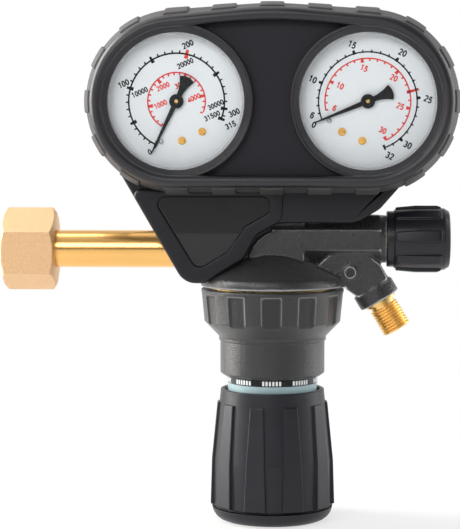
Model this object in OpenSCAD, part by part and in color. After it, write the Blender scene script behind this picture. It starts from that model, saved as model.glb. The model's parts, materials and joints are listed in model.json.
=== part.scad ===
// Single-stage gas cylinder regulator with two gauges in a rubber-lugged cover.
// Millimetres. X runs along the inlet, Y into the picture, Z up.
// The origin is the centre of the inlet stem's sealing face.

/* [Layout] */
// Distance from the inlet sealing face to the axis of the body
axis_x = 111; // [100:1:125]
// Half the distance between the two gauges
gauge_dx = 41.4; // [40:0.2:44]
// Height of the gauges above the inlet axis
gauge_z = 65.5; // [62:0.5:70]
// Lean of each gauge stem from the vertical, in degrees
gauge_lean = 24; // [20:1:28]
// Radial running clearance of turning and sliding fits
run_gap = 0.08; // [0.05:0.01:0.1]
// Clearance between parts that are assembled by hand
slack = 0.3; // [0.2:0.05:0.5]

/* [Inlet] */
// Width across the flats of the coupling nut
nut_af = 32; // [30:0.5:34]
// Length of the coupling nut
nut_len = 22.6; // [20:0.2:26]
// Length of the nut's thread in front of the sealing face
nut_reach = 8.4; // [7.6:0.1:12]
// Turn of the nut about its axis, in degrees
nut_turn = 3.5; // [0:0.5:30]
// Minor radius of the nut's thread
nut_thread_r = 9.74; // [9.5:0.01:10]
// Thickness of the nut's back wall
nut_wall = 6.3; // [4:0.1:8]
// Radius of the inlet tube
tube_r = 8.3; // [7.5:0.1:8.6]
// Radius of the gas way in the tube
tube_bore_r = 3.6; // [3:0.1:4.5]
// Radius of the collar that the nut pulls on
collar_r = 9.4; // [9:0.1:9.6]
// Depth of the gasket in the stem's face
seal_depth = 2; // [1.5:0.1:3]
// Depth to which the tube is screwed into the body
tube_seat = 12; // [9:0.5:16]

/* [Body] */
// Radius of the flange under the dome
flange_r = 32; // [30:0.5:34]
// Height at which the dome's slope would reach the flange's edge
flange_z = -12.6; // [-14:0.1:-12]
// Rounding of the flange's upper edge
flange_round = 3.5; // [1:0.25:4]
// Distance from there to the flange's underside
flange_t = 3.8; // [3:0.1:4]
// Height of the top of the dome, below the inlet axis
dome_z = -2.8; // [-4:0.1:0]
// Radius of the top of the dome
dome_r = 12; // [10:0.5:14]
// Radius of the thread that carries the bonnet
bonnet_thread_r = 27.8; // [27:0.1:28.4]
// Height of the face that clamps the diaphragm
clamp_z = -27; // [-30:0.5:-26]
// Radius of the inlet boss
inlet_boss_r = 9.8; // [9.5:0.1:10.2]
// Reach of the inlet boss from the axis of the body
inlet_boss_len = 40; // [36:1:42]
// Width of the block between dome and gauge ports
block_w = 28; // [26:1:34]
// Radius of each gauge port
port_r = 8.5; // [8:0.25:9.5]
// Radius of the high-pressure chamber
chamber_r = 6; // [5:0.25:7]

/* [Valve branch] */
// Width across the flats of the eight-sided branch
branch_af = 21.4; // [20:0.2:24]
// Height of the branch axis above the inlet axis
branch_z = 4.6; // [3:0.1:7]
// Reach of the branch from the axis of the body
branch_len = 50.5; // [46:0.5:56]
// Distance of the elbow from the axis of the body
elbow_x = 31.5; // [30:0.5:34]
// Lean of the outlet from the vertical, in degrees
outlet_lean = 31; // [27:1:35]
// Radius of the elbow
elbow_r = 8.4; // [8:0.1:9]
// Radius of the collar at the outlet
outlet_collar_r = 9.5; // [9.3:0.1:11]
// Distance from the branch axis to the end of that collar
outlet_len = 31.7; // [30:0.5:36]
// Length of that collar
outlet_collar_len = 6.5; // [5:0.5:9]

/* [Outlet nipple] */
// Outer radius of the outlet thread
outlet_thread_r = 6.58; // [6.3:0.01:6.8]
// Pitch of the outlet thread
outlet_pitch = 1.337; // [1:0.001:1.6]
// Number of thread crests
outlet_crests = 9; // [6:1:10]
// Length of brass between the collar and the thread
outlet_neck = 3; // [2:0.25:5]
// Radius of the gas way in the nipple
outlet_bore_r = 3; // [2.5:0.1:3.5]

/* [Bonnet] */
// Radius of the grip ring
grip_r = 31.9; // [31:0.1:34]
// Height of the top of the grip ring
grip_z = -17.4; // [-19:0.1:-17.2]
// Length of the straight part of the grip ring
grip_len = 14.4; // [13:0.2:19]
// How much narrower the grip ring is at its foot, on the radius
grip_draft = 1.4; // [0.4:0.1:1.6]
// Number of grip pockets
pockets = 12; // [8:1:16]
// Width of the floor of a grip pocket
pocket_w = 6.8; // [5:0.2:9]
// Depth of a grip pocket
pocket_depth = 1.1; // [0.5:0.1:1.3]
// Distance from the top of the grip ring to a pocket
pocket_drop = 1.9; // [1.2:0.1:4]
// Radius of the spring housing
bonnet_r = 23.3; // [22.8:0.1:25]
// Height of the bottom of the spring housing
bonnet_z = -56.3; // [-60:0.1:-54]
// Radius of the neck that carries the label ring
neck_r = 19.4; // [19:0.1:20]
// Length of that neck
neck_len = 9.7; // [8:0.1:12]
// Thickness of the label ring
label_t = 0.5; // [0.3:0.1:0.7]
// Thickness of the clear sleeve
sleeve_t = 0.6; // [0.4:0.1:0.8]

/* [Adjusting] */
// Radius of the adjusting screw
screw_r = 6; // [5:0.1:7]
// Travel of the spring button
button_travel = 7.5; // [5:0.1:9]
// Radius of the wire of the main spring
main_wire_r = 1.5; // [1.2:0.05:1.7]
// Radius of the coil of the main spring
main_coil_r = 14; // [12:0.25:15.5]
// Radius of the knob's rim
knob_rim_r = 23.15; // [22.9:0.05:24.5]
// Height of the knob's rim
knob_top_z = -62.3; // [-63:0.05:-60]
// Height of the knob
knob_h = 59; // [54:0.5:64]
// Radius of the knob's foot
knob_foot_r = 27; // [26:0.25:29]
// Number of ribs on the knob
knob_ribs = 10; // [8:1:12]
// How far a rib stands out
rib_out = 0.9; // [0.5:0.1:1.5]
// Wall of the knob
knob_wall = 2.2; // [1.8:0.1:2.6]

/* [Valve knob] */
// Radius of the valve knob over its ribs
vknob_r = 14.9; // [14:0.1:17]
// Length of the valve knob
vknob_len = 27; // [25:0.5:32]
// Number of ribs on the valve knob
vknob_ribs = 8; // [6:1:10]
// Width of a rib on the valve knob
vrib_w = 5.1; // [4:0.1:6]
// Turn of those ribs about the knob's axis, in degrees
vrib_turn = 37; // [0:1:45]
// Radius of the valve spindle
spindle_r = 3; // [2.5:0.1:3.5]
// Travel of the valve plug
valve_travel = 2.5; // [1.5:0.1:3]

/* [Gauges] */
// Outer radius of the gauge case
case_r = 31.5; // [30:0.25:32.5]
// Wall of the gauge case
case_wall = 1.2; // [0.8:0.1:1.6]
// Front edge of the case, in front of the stem
case_front = 27.6; // [26:0.2:29]
// Back of the case, behind the stem
case_back = 9; // [7:0.5:11]
// Distance from the lens to the dial
dial_drop = 4.2; // [3.6:0.1:5]
// Length of the stem below the case
stem_len = 24; // [20:0.5:28]
// Width across the flats of the stem
stem_af = 14; // [12:0.5:15]
// Sweep of the pointer at the high-pressure gauge, in degrees
pressure_sweep = 265.5; // [240:0.5:270]
// Sweep of the pointer at the flow gauge, in degrees
flow_sweep = 271.8; // [240:0.5:275]

/* [Cover] */
// Radius of the cover around each gauge
cover_r = 40; // [39:0.25:43]
// Rise of the cover's top edge towards the middle, in degrees
cover_arch = 4; // [2:0.5:6]
// Wall of the cover
cover_wall = 2.2; // [1.6:0.1:3]
// Front of the rim, in front of the stems
rim_front = 36; // [35:0.5:38]
// Depth of the panel behind the rim
panel_drop = 7; // [5:0.5:7.5]
// Radius of the window over a dial
window_r = 29.4; // [28:0.1:29.8]
// Plane in which the two halves meet, in front of the stems
cover_split = 4; // [2:0.5:8]
// Back of the cover, behind the stems
cover_back_y = 15; // [13:0.5:18]
// How far a lug stands out
lug_out = 1; // [0.6:0.1:1.4]
// Front of the skirt, in front of the stems
skirt_front = 17; // [16:0.5:22]
// How far the plate's frame stands out of the skirt
frame_out = 1.5; // [1:0.1:2]
// Depth of the recess for the plate
plate_drop = 1.2; // [0.8:0.1:1.6]
// Radius of the cover screws
cover_screw_r = 1.5; // [1.25:0.05:2]

/* [Hidden] */
$fn = 48;
EPS = 0.01;

LEFT = -1;
RIGHT = 1;

// Rounded outlines

function unit(v) = v / norm(v);
function cross2(a, b) = a.x * b.y - a.y * b.x;
function flat(p) = [p.x, p.y];

// Points on the fillet of radius r at corner b, between a and c
function corner_arc(a, b, c, r, steps) =
    let (u = unit(a - b), w = unit(c - b), half = acos(u * w) / 2)
    let (centre = b + unit(u + w) * r / sin(half), start = b + u * r / tan(half) - centre)
    let (sweep = sign(cross2(w, u)) * (180 - 2 * half), from = atan2(start.y, start.x))
    [for (i = [0 : steps]) centre + r * [cos(from + sweep * i / steps), sin(from + sweep * i / steps)]];

// Outline through corners [x, z, radius], counter-clockwise, each corner rounded
function rounded(corners, steps = 6) =
    let (n = len(corners))
    [for (i = [0 : n - 1])
        each corner_arc(flat(corners[(i + n - 1) % n]), flat(corners[i]),
            flat(corners[(i + 1) % n]), corners[i].z, steps)];

// The same corners with every edge moved inwards by d
function inset(corners, d) =
    let (n = len(corners))
    [for (i = [0 : n - 1])
        let (a = flat(corners[(i + n - 1) % n]), b = flat(corners[i]), c = flat(corners[(i + 1) % n]))
        let (e = unit(b - a), f = unit(c - b), p = [-e.y, e.x], q = [-f.y, f.x])
        let (moved = b + d * (p + q) / (1 + p * q), turn = cross2(e, f))
        [moved.x, moved.y, turn > 0 ? max(corners[i].z - d, 0.4) : corners[i].z + d]];

// Placing

module on_axis() translate([axis_x, 0, 0]) children();
module along_x(x = 0, z = 0) translate([x, 0, z]) rotate([0, 90, 0]) children();
module along_y(y = 0) translate([0, y, 0]) rotate([-90, 0, 0]) children();
module slab(y0, y1) translate([0, y1, 0]) rotate([90, 0, 0]) linear_extrude(y1 - y0) children();
module outlet_frame() on_axis() translate([elbow_x, 0, branch_z]) rotate([0, 180 - outlet_lean, 0]) children();
module gauge_frame(side)
    on_axis() translate([side * gauge_dx, 0, gauge_z]) rotate([0, side * gauge_lean, 0]) children();

// Ring around the local Z axis
module ring(r_out, r_in, z0, z1)
    translate([0, 0, z0]) difference() {
        cylinder(r = r_out, h = z1 - z0);
        translate([0, 0, -1]) cylinder(r = r_in, h = z1 - z0 + 2);
    }

// Helical wire from z0 to z1, its ends closed
module coil(coil_r, wire_r, z0, z1, turns, sides = 6, steps = 14) {
    count = turns * steps;
    points = [for (i = [0 : count])
        let (a = 360 * i / steps, z = z0 + wire_r + (z1 - z0 - 2 * wire_r) * i / count)
        for (j = [0 : sides - 1])
            let (b = 360 * j / sides, r = coil_r + wire_r * cos(b))
            [r * cos(a), r * sin(a), z + wire_r * sin(b)]];
    skin = [for (i = [0 : count - 1])
        for (j = [0 : sides - 1])
            let (k = (j + 1) % sides)
            [i * sides + j, i * sides + k, (i + 1) * sides + k, (i + 1) * sides + j]];
    first = [for (j = [sides - 1 : -1 : 0]) j];
    last = [for (j = [0 : sides - 1]) count * sides + j];
    polyhedron(points, concat([first], skin, [last]), convexity = 6);
}

// Inlet

nut_corner_r = nut_af / 2 / cos(30);
nut_back = nut_len - nut_reach;
nut_inside = nut_back - nut_wall;
nut_chamfer = 2.2;
chamfer_slope = 1.7;

module nut_chamfers()
    intersection() {
        narrow = nut_corner_r - nut_chamfer;
        wide = narrow + nut_len * chamfer_slope;
        translate([0, 0, -nut_reach]) cylinder(r1 = narrow, r2 = wide, h = nut_len);
        translate([0, 0, -nut_reach]) cylinder(r1 = wide, r2 = narrow, h = nut_len);
    }

module inlet_nut()
    color("goldenrod")
    along_x()
    difference() {
        intersection() {
            rotate([0, 0, nut_turn]) translate([0, 0, -nut_reach]) cylinder(r = nut_corner_r, h = nut_len, $fn = 6);
            nut_chamfers();
        }
        translate([0, 0, -nut_reach - 1]) cylinder(r = nut_thread_r, h = nut_reach + 1 + EPS);
        translate([0, 0, -nut_reach - EPS]) cylinder(r1 = nut_thread_r + 1, r2 = nut_thread_r, h = 1);
        cylinder(r = nut_thread_r + 0.8, h = nut_inside);
        cylinder(r = tube_r + run_gap, h = nut_len);
    }

tube_end = axis_x - inlet_boss_len + tube_seat;
seal_r_out = 7.2;

module inlet_stem()
    color("goldenrod")
    along_x()
    difference() {
        union() {
            cylinder(r = tube_r, h = tube_end);
            cylinder(r = collar_r, h = nut_inside - slack);
        }
        translate([0, 0, -1]) cylinder(r = tube_bore_r, h = tube_end + 2);
        translate([0, 0, -1]) cylinder(r = seal_r_out, h = seal_depth + 1);
    }

module inlet_seal()
    color("white")
    along_x() ring(seal_r_out - EPS, tube_bore_r, 0, seal_depth);

filter_len = 10;

module inlet_filter()
    color("peru")
    along_x() translate([0, 0, seal_depth + 1]) cylinder(r = tube_bore_r - EPS, h = filter_len);

// Body

chamber_top = 17;
seat_z = -12;
seat_t = 3;
seat_hole_r = 1.6;
diaphragm_room = 2.5;
diaphragm_room_r = 22;
port_face = gauge_dx / sin(gauge_lean) - case_r - (stem_len - 10);
port_z0 = gauge_z - gauge_dx / tan(gauge_lean);
port_root = 26;
socket_r = 6;
socket_depth = 10;
branch_corner_r = branch_af / 2 / cos(22.5);
gland_r = 7;
gland_len = 12;
web_y = 9;
nipple_socket_r = 5.9;
nipple_seat = 10;
plug_x = 34.4;
plug_z = -9.8;
plug_r = 2;

flange_corner = [flange_r, flange_z];
flange_foot = [flange_r, flange_z - flange_t];

module dome_profile()
    polygon(concat(
        [[0, dome_z], [dome_r, dome_z]],
        corner_arc([dome_r, dome_z], flange_corner, flange_foot, flange_round, 5),
        [
            flange_foot, [bonnet_thread_r, flange_foot.y], [bonnet_thread_r, clamp_z],
            [diaphragm_room_r, clamp_z], [diaphragm_room_r, clamp_z + diaphragm_room],
            [0, clamp_z + diaphragm_room]
        ]
    ));

module port_frame(side) translate([0, 0, port_z0]) rotate([0, side * gauge_lean, 0]) children();

// Web between branch, dome and elbow, drawn in the plane of the outlet
web_corners = [
    [20, -14, 1], [29, -14.5, 2], [33, -17.5, 3], [38, -21, 1],
    [51, -12.6, 1], [48, -6.5, 3], [43, -2.6, 6], [33.5, 0.2, 9], [24, -3, 6], [17, -10, 1]
];

block_foot_z = dome_z - 8;
block_y = branch_af / 2 - 1.2;
face_top_z = branch_z + 4.5;
block_corners = [
    [-block_w / 2, block_foot_z, 1], [block_w / 2, block_foot_z, 1],
    [block_w / 2, chamber_top, 1], [-block_w / 2, chamber_top, 10]
];
// Raised faces of the block, level with the branch and rounded at the inlet's end
face_corners = [
    [3.5 - block_w / 2, block_foot_z, 1], [block_w / 2, block_foot_z, 1],
    [block_w / 2, face_top_z, 1], [3.5 - block_w / 2, face_top_z, 15]
];

module branch(grow = 0)
    along_x(0, branch_z) {
        rotate([0, 0, 22.5]) cylinder(r = branch_corner_r + grow, h = branch_len - 2.5, $fn = 8);
        cylinder(r = branch_af / 2 - 0.1 + grow, h = branch_len);
    }

module body()
    color("dimgray")
    on_axis()
    difference() {
        union() {
            rotate_extrude() dome_profile();
            slab(-block_y, block_y) polygon(rounded(block_corners));
            slab(-branch_af / 2, branch_af / 2) polygon(rounded(face_corners));
            along_x(-inlet_boss_len) cylinder(r = inlet_boss_r, h = inlet_boss_len);
            for (side = [LEFT, RIGHT]) port_frame(side)
                translate([0, 0, port_root]) cylinder(r = port_r, h = port_face - port_root);
            branch();
            slab(-web_y, web_y) polygon(rounded(web_corners));
            translate([elbow_x, 0, branch_z]) rotate([0, 180 - outlet_lean, 0]) {
                cylinder(r = elbow_r, h = outlet_len - 2);
                translate([0, 0, outlet_len - outlet_collar_len])
                    cylinder(r = outlet_collar_r, h = outlet_collar_len);
            }
            translate([plug_x, 0, plug_z]) along_y(-web_y - 0.5) cylinder(r = plug_r + 0.85, h = 2);
        }
        body_gas_ways();
    }

module body_gas_ways() {
    translate([0, 0, seat_z]) cylinder(r = chamber_r, h = chamber_top - seat_z + 1);
    translate([0, 0, clamp_z]) cylinder(r = 2.2, h = seat_z - clamp_z + 1);
    along_x(-inlet_boss_len - 1) cylinder(r = tube_r + EPS, h = tube_seat + 1);
    along_x(-inlet_boss_len) cylinder(r = 2.5, h = inlet_boss_len);
    for (side = [LEFT, RIGHT]) port_frame(side) {
        translate([0, 0, port_face - socket_depth]) cylinder(r = socket_r + EPS, h = socket_depth + 1);
        translate([0, 0, port_face - 25]) cylinder(r = 1.5, h = 25);
    }
    translate([19, 0, clamp_z]) cylinder(r = 2, h = branch_z - clamp_z);
    along_x(18, branch_z) cylinder(r = 2.5, h = branch_len - 17);
    along_x(elbow_x - 4, branch_z) cylinder(r = 4.5, h = branch_len - elbow_x + 5);
    along_x(branch_len - gland_len, branch_z) cylinder(r = gland_r + EPS, h = gland_len + 1);
    translate([elbow_x, 0, branch_z]) rotate([0, 180 - outlet_lean, 0]) {
        cylinder(r = outlet_bore_r, h = outlet_len);
        translate([0, 0, outlet_len - nipple_seat]) cylinder(r = nipple_socket_r + EPS, h = nipple_seat + 1);
    }
    translate([plug_x, 0, plug_z]) along_y(-web_y - 1) cylinder(r = plug_r + EPS, h = 5);
}

module bore_plug()
    color("gray")
    on_axis() translate([plug_x, 0, plug_z]) along_y(-web_y - 0.3) cylinder(r = plug_r, h = 4);

top_plug_len = 7;

module top_plug()
    color("goldenrod")
    on_axis()
    difference() {
        union() {
            translate([0, 0, chamber_top - top_plug_len]) cylinder(r = chamber_r - EPS, h = top_plug_len);
            translate([0, 0, chamber_top]) cylinder(r = chamber_r + 3, h = 4, $fn = 6);
        }
        translate([0, 0, chamber_top - top_plug_len - 1]) cylinder(r = 2.2, h = 5);
    }

module poppet_seat()
    color("white")
    on_axis() ring(chamber_r - EPS, seat_hole_r, seat_z, seat_z + seat_t);

poppet_base = seat_z + seat_t + 0.05;
poppet_head_h = 6;
lift = 0.8;
diaphragm_t = 0.6;
diaphragm_rise = lift + 0.2;
plate_top = clamp_z - diaphragm_t;
plate_t = 2.5;

module poppet()
    color("silver")
    on_axis() {
        translate([0, 0, poppet_base]) cylinder(r = 3.4, h = poppet_head_h);
        translate([0, 0, plate_top + diaphragm_rise + diaphragm_t + 0.05])
            cylinder(r = 1.1, h = poppet_base - plate_top - diaphragm_rise - diaphragm_t);
        translate([0, 0, poppet_base + poppet_head_h - EPS]) cylinder(r = 1.5, h = 3);
    }

poppet_spring_z0 = poppet_base + poppet_head_h;
poppet_spring_z1 = chamber_top - top_plug_len;

module poppet_spring()
    color("lightgray")
    on_axis() coil(2.7, 0.4, poppet_spring_z0, poppet_spring_z1, 5);

// Diaphragm and bonnet

slip_t = 1;
shoulder_z = clamp_z - diaphragm_t - slip_t;
bore_r_top = bonnet_thread_r + 0.05;
spring_room_r = 20.4;
diaphragm_plate_r = 16.5;
fold_in_r = diaphragm_plate_r + 0.5;
fold_out_r = fold_in_r + 3;
neck_room_r = 17;
bonnet_floor_t = 4;
neck_end_z = bonnet_z - neck_len;
cone_drop = 6.8;
lip_r = bonnet_r + 0.6;
lip_len = 1.8;
grip_end = grip_z - grip_len;

module diaphragm()
    color("black")
    on_axis()
    rotate_extrude()
    polygon([
        [0, plate_top + diaphragm_rise], [fold_in_r, plate_top + diaphragm_rise], [fold_out_r, plate_top],
        [bonnet_thread_r - 0.4, plate_top], [bonnet_thread_r - 0.4, clamp_z],
        [fold_out_r, clamp_z], [fold_in_r, clamp_z + diaphragm_rise], [0, clamp_z + diaphragm_rise]
    ]);

module diaphragm_plate()
    color("silver")
    on_axis() translate([0, 0, plate_top - plate_t]) {
        cylinder(r = diaphragm_plate_r, h = plate_t);
        translate([0, 0, -1.5]) cylinder(r = main_coil_r - main_wire_r - slack, h = 1.5 + EPS);
    }

module slip_ring()
    color("white")
    on_axis() ring(bonnet_thread_r - 0.4, spring_room_r + 1, shoulder_z, plate_top);

module bonnet_profile()
    polygon([
        [bore_r_top, grip_z], [grip_r - 0.6, grip_z], [grip_r, grip_z - 0.6], [grip_r - grip_draft, grip_end],
        [lip_r, grip_end - cone_drop], [lip_r, grip_end - cone_drop - lip_len],
        [bonnet_r, grip_end - cone_drop - lip_len], [bonnet_r, bonnet_z + 1.4],
        [bonnet_r - 1.9, bonnet_z], [neck_r, bonnet_z], [neck_r, neck_end_z],
        [screw_r + run_gap, neck_end_z], [screw_r + run_gap, neck_end_z + bonnet_floor_t],
        [neck_room_r, neck_end_z + bonnet_floor_t], [neck_room_r, bonnet_z + 2],
        [spring_room_r, bonnet_z + 5], [spring_room_r, shoulder_z], [bore_r_top, shoulder_z]
    ]);

module bonnet()
    color("dimgray")
    on_axis()
    difference() {
        rotate_extrude() bonnet_profile();
        for (i = [0 : pockets - 1]) rotate([0, 0, 270 + 360 * i / pockets]) grip_pocket();
        for (a = [90, 270]) rotate([0, 0, a]) translate([0, -2, neck_end_z + bonnet_floor_t]) key_slot();
    }

// Pocket with sloping sides that runs out into the cone below the ring
module grip_pocket() {
    h = grip_len - pocket_drop + 1.6;
    low = pocket_w / 2;
    high = low + pocket_depth + 1;
    translate([grip_r, 0, grip_z]) rotate([0, atan(grip_draft / grip_len), 0])
        translate([0, 0, -pocket_drop - h]) linear_extrude(h)
            polygon([[-pocket_depth, -low], [1, -high], [1, high], [-pocket_depth, low]]);
}

// Groove in the neck's bore that keeps the spring button from turning
module key_slot() translate([neck_room_r - 1, 0, 0]) cube([2, 4, bonnet_z - neck_end_z]);

// Adjusting gear

button_z0 = neck_end_z + bonnet_floor_t + 0.5;
button_h = 8;
main_spring_z0 = button_z0 + button_h;
main_spring_z1 = plate_top - plate_t;

module main_spring()
    color("silver")
    on_axis() coil(main_coil_r, main_wire_r, main_spring_z0, main_spring_z1, 4, 8, 18);

module spring_button()
    color("goldenrod")
    on_axis()
    difference() {
        union() {
            translate([0, 0, button_z0]) cylinder(r = neck_room_r - 0.2, h = button_h - 2);
            translate([0, 0, button_z0]) cylinder(r = 12, h = button_h);
            ring(main_coil_r + main_wire_r + 1.2, 10, button_z0 + button_h - 2 - EPS, main_spring_z0);
            for (a = [90, 270]) rotate([0, 0, a]) translate([neck_room_r - 1.5, -1.7, button_z0]) cube([2, 3.4, 4]);
        }
        translate([0, 0, button_z0 - 1]) cylinder(r = screw_r + run_gap, h = button_h + 2);
    }

screw_top = main_spring_z0 + button_travel + 1;
clip_z = neck_end_z - 0.3;
clip_t = 1.2;
hub_z = clip_z - clip_t - 1;
spigot_r = 4.5;
spigot_len = 22;

module adjusting_screw()
    color("silver")
    on_axis()
    difference() {
        union() {
            translate([0, 0, hub_z]) cylinder(r = screw_r, h = screw_top - hub_z);
            translate([0, 0, hub_z - spigot_len]) cylinder(r = spigot_r, h = spigot_len + EPS);
        }
        ring(screw_r + 1, screw_r - 0.8, clip_z - clip_t, clip_z);
        translate([0, 0, hub_z - spigot_len - 1]) cylinder(r = knob_screw_r, h = 13);
    }

module screw_clip()
    color("black")
    on_axis() ring(screw_r + 2.5, screw_r - 0.8 + EPS, clip_z - clip_t, clip_z);

label_r = neck_r + label_t;

module label_ring()
    color("black")
    on_axis() ring(label_r, neck_r + EPS, neck_end_z, bonnet_z - EPS);

module ring_sleeve()
    color("lightcyan", 0.5)
    on_axis() ring(label_r + sleeve_t, label_r + EPS, neck_end_z, bonnet_z - EPS);

// Adjusting knob

knob_bottom_z = knob_top_z - knob_h;
rib_top_drop = 5.9;
rib_kink_drop = 31.7;
rib_top_z = knob_top_z - rib_top_drop;
rib_kink_z = knob_top_z - rib_kink_drop;
rib_end_z = knob_bottom_z + 7.4;
rim_depth = 9;
rib_top_r = knob_rim_r + 0.5 + rib_out;
rib_kink_r = knob_foot_r - 0.8 + rib_out;
knob_screw_r = 2.4;
knob_hub_r = 9;
knob_floor_z = knob_bottom_z + 7;
cap_r = 8;
cap_t = 2;

module knob_profile()
    polygon(concat(
        [[0, knob_bottom_z], [knob_foot_r - 8, knob_bottom_z]],
        [for (a = [-70 : 14 : 0]) [knob_foot_r - 6 + 6 * cos(a), knob_bottom_z + 6 + 6 * sin(a)]],
        [
            [knob_foot_r, rib_end_z - 0.8], [knob_foot_r - 0.5, rib_end_z - 0.5],
            [rib_kink_r - rib_out, rib_kink_z - 0.4], [rib_top_r - rib_out, rib_top_z + 0.4],
            [knob_rim_r, knob_top_z - 1], [knob_rim_r - 0.8, knob_top_z],
            [knob_rim_r - knob_wall + 0.3, knob_top_z], [knob_rim_r - knob_wall + 0.3, knob_top_z - rim_depth]
        ],
        [
            [knob_rim_r - knob_wall + 0.3, rib_top_z - 4], [rib_kink_r - rib_out - knob_wall, rib_kink_z],
            [knob_foot_r - knob_wall - 1, knob_floor_z], [knob_hub_r, knob_floor_z], [knob_hub_r, hub_z], [0, hub_z]
        ]
    ));

module rib_band()
    polygon([
        [knob_rim_r - 1, rib_top_z], [rib_top_r, rib_top_z], [rib_kink_r, rib_kink_z],
        [knob_foot_r + rib_out, rib_end_z], [knob_foot_r - 1.5, rib_end_z]
    ]);

// One rib seen from outside: narrow at the top, wider to the foot
module rib_outline()
    polygon([
        [-3.1, rib_top_z + 1], [-4.3, rib_kink_z + 0.5], [-5, rib_end_z - 1],
        [5, rib_end_z - 1], [4.3, rib_kink_z + 0.5], [3.1, rib_top_z + 1]
    ]);

module adjusting_knob()
    color([0.16, 0.16, 0.18])
    on_axis()
    difference() {
        union() {
            rotate_extrude() knob_profile();
            for (i = [0 : knob_ribs - 1]) rotate([0, 0, 360 * (i + 0.5) / knob_ribs])
                intersection() {
                    rotate_extrude() rib_band();
                    slab(-knob_foot_r - 3, -knob_rim_r / 2) rib_outline();
                }
        }
        translate([0, 0, hub_z - spigot_len]) cylinder(r = spigot_r + EPS, h = spigot_len + 1);
        translate([0, 0, knob_bottom_z - 1]) cylinder(r = knob_screw_r + 0.1, h = knob_h);
        translate([0, 0, knob_bottom_z - 1]) cylinder(r = cap_r + EPS, h = cap_t + 1);
        translate([0, 0, knob_bottom_z + cap_t - EPS]) cylinder(r = 5, h = 3.5);
    }

module knob_screw()
    color("silver")
    on_axis() {
        translate([0, 0, knob_bottom_z + cap_t + 0.3]) cylinder(r = 4.6, h = 3);
        translate([0, 0, knob_bottom_z + cap_t + 3]) cylinder(r = knob_screw_r - EPS, h = knob_screw_len);
    }

knob_screw_len = hub_z - spigot_len + 10 - knob_bottom_z - cap_t - 3;

module knob_cap()
    color([0.16, 0.16, 0.18])
    on_axis() translate([0, 0, knob_bottom_z]) cylinder(r = cap_r, h = cap_t);

// Outlet valve

module valve_frame() on_axis() translate([0, 0, branch_z]) rotate([0, 90, 0]) children();

gland_out = 2;
gland_in = branch_len - gland_len + 4;

module valve_gland()
    color("goldenrod")
    valve_frame() {
        ring(gland_r, spindle_r + run_gap, gland_in, branch_len + gland_out);
    }

module gland_seal()
    color("black")
    valve_frame() ring(gland_r - 0.1, spindle_r + run_gap, branch_len - gland_len, gland_in);

seat_x = elbow_x - 4;
plug_len = 6;

module valve_plug()
    color("white")
    valve_frame() {
        translate([0, 0, seat_x + 0.1]) cylinder(r = 4.2, h = plug_len - 0.5);
        translate([0, 0, seat_x + plug_len - 0.5]) cylinder(r = 1.5, h = 3);
    }

vknob_x = branch_len + 0.9;
vknob_end = vknob_x + vknob_len;
spindle_end = vknob_end - 8;

module valve_spindle()
    color("silver")
    valve_frame()
    difference() {
        translate([0, 0, seat_x + plug_len - 0.3]) cylinder(r = spindle_r, h = spindle_end - seat_x - plug_len);
        translate([0, 0, seat_x + plug_len - 1]) cylinder(r = 1.5 + run_gap, h = 4);
    }

vknob_body_r = vknob_r - 1.2;
vcap_r = 9;
vcap_t = 1.5;

module vknob_profile()
    polygon([
        [0, 10], [0, vknob_len], [vknob_r - 4, vknob_len], [vknob_r - 2.4, vknob_len - 0.8],
        [vknob_body_r, vknob_len - 3], [vknob_body_r, 12], [vknob_body_r - 0.7, 3],
        [vknob_body_r - 1.3, 3], [vknob_body_r - 1.3, 0], [vknob_body_r - 3, 0], [vknob_body_r - 3, 10]
    ]);

module vrib_band()
    polygon([
        [vknob_r - 5, 3], [vknob_r - 0.8, 3], [vknob_r, 12], [vknob_r, vknob_len - 5.5],
        [vknob_r - 1.4, vknob_len - 4], [vknob_r - 5, vknob_len - 4]
    ]);

module valve_knob()
    color([0.14, 0.14, 0.17])
    valve_frame() translate([0, 0, vknob_x])
    difference() {
        union() {
            rotate_extrude() vknob_profile();
            for (i = [0 : vknob_ribs - 1]) rotate([0, 0, vrib_turn + 360 * i / vknob_ribs])
                intersection() {
                    rotate_extrude() vrib_band();
                    translate([0, -vrib_w / 2, 0]) cube([vknob_r + 1, vrib_w, vknob_len]);
                }
        }
        translate([0, 0, -1]) cylinder(r = spindle_r + EPS, h = spindle_end - vknob_x + 1);
        translate([0, 0, vknob_len - vcap_t]) cylinder(r = vcap_r + EPS, h = vcap_t + 1);
    }

module valve_knob_cap()
    color([0.14, 0.14, 0.17])
    valve_frame() translate([0, 0, vknob_end - vcap_t]) cylinder(r = vcap_r, h = vcap_t);

// Outlet nipple

thread_root_r = outlet_thread_r - 0.85;
thread_start = outlet_len + outlet_neck;
nipple_end = thread_start + outlet_crests * outlet_pitch;

module thread_profile()
    polygon(concat(
        [[outlet_bore_r, thread_start - EPS], [thread_root_r, thread_start - EPS]],
        [for (i = [0 : outlet_crests - 1])
            let (z = thread_start + i * outlet_pitch)
            each [
                [thread_root_r, z], [outlet_thread_r, z + 0.36 * outlet_pitch],
                [outlet_thread_r, z + 0.64 * outlet_pitch], [thread_root_r, z + outlet_pitch]
            ]],
        [[outlet_bore_r, nipple_end]]
    ));

module outlet_nipple()
    color("goldenrod")
    outlet_frame()
    difference() {
        union() {
            ring(nipple_socket_r, outlet_bore_r, outlet_len - nipple_seat, outlet_len + 0.5);
            ring(outlet_thread_r + 0.5, outlet_bore_r, outlet_len, outlet_len + 1.2);
            ring(thread_root_r, outlet_bore_r, outlet_len, thread_start);
            rotate_extrude() thread_profile();
        }
        translate([0, 0, nipple_end - 2.5])
            cylinder(r1 = outlet_bore_r - 0.2, r2 = outlet_bore_r + 1.4, h = 2.5 + EPS);
    }

// Gauges, drawn with the stem down and the dial towards -Y

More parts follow.
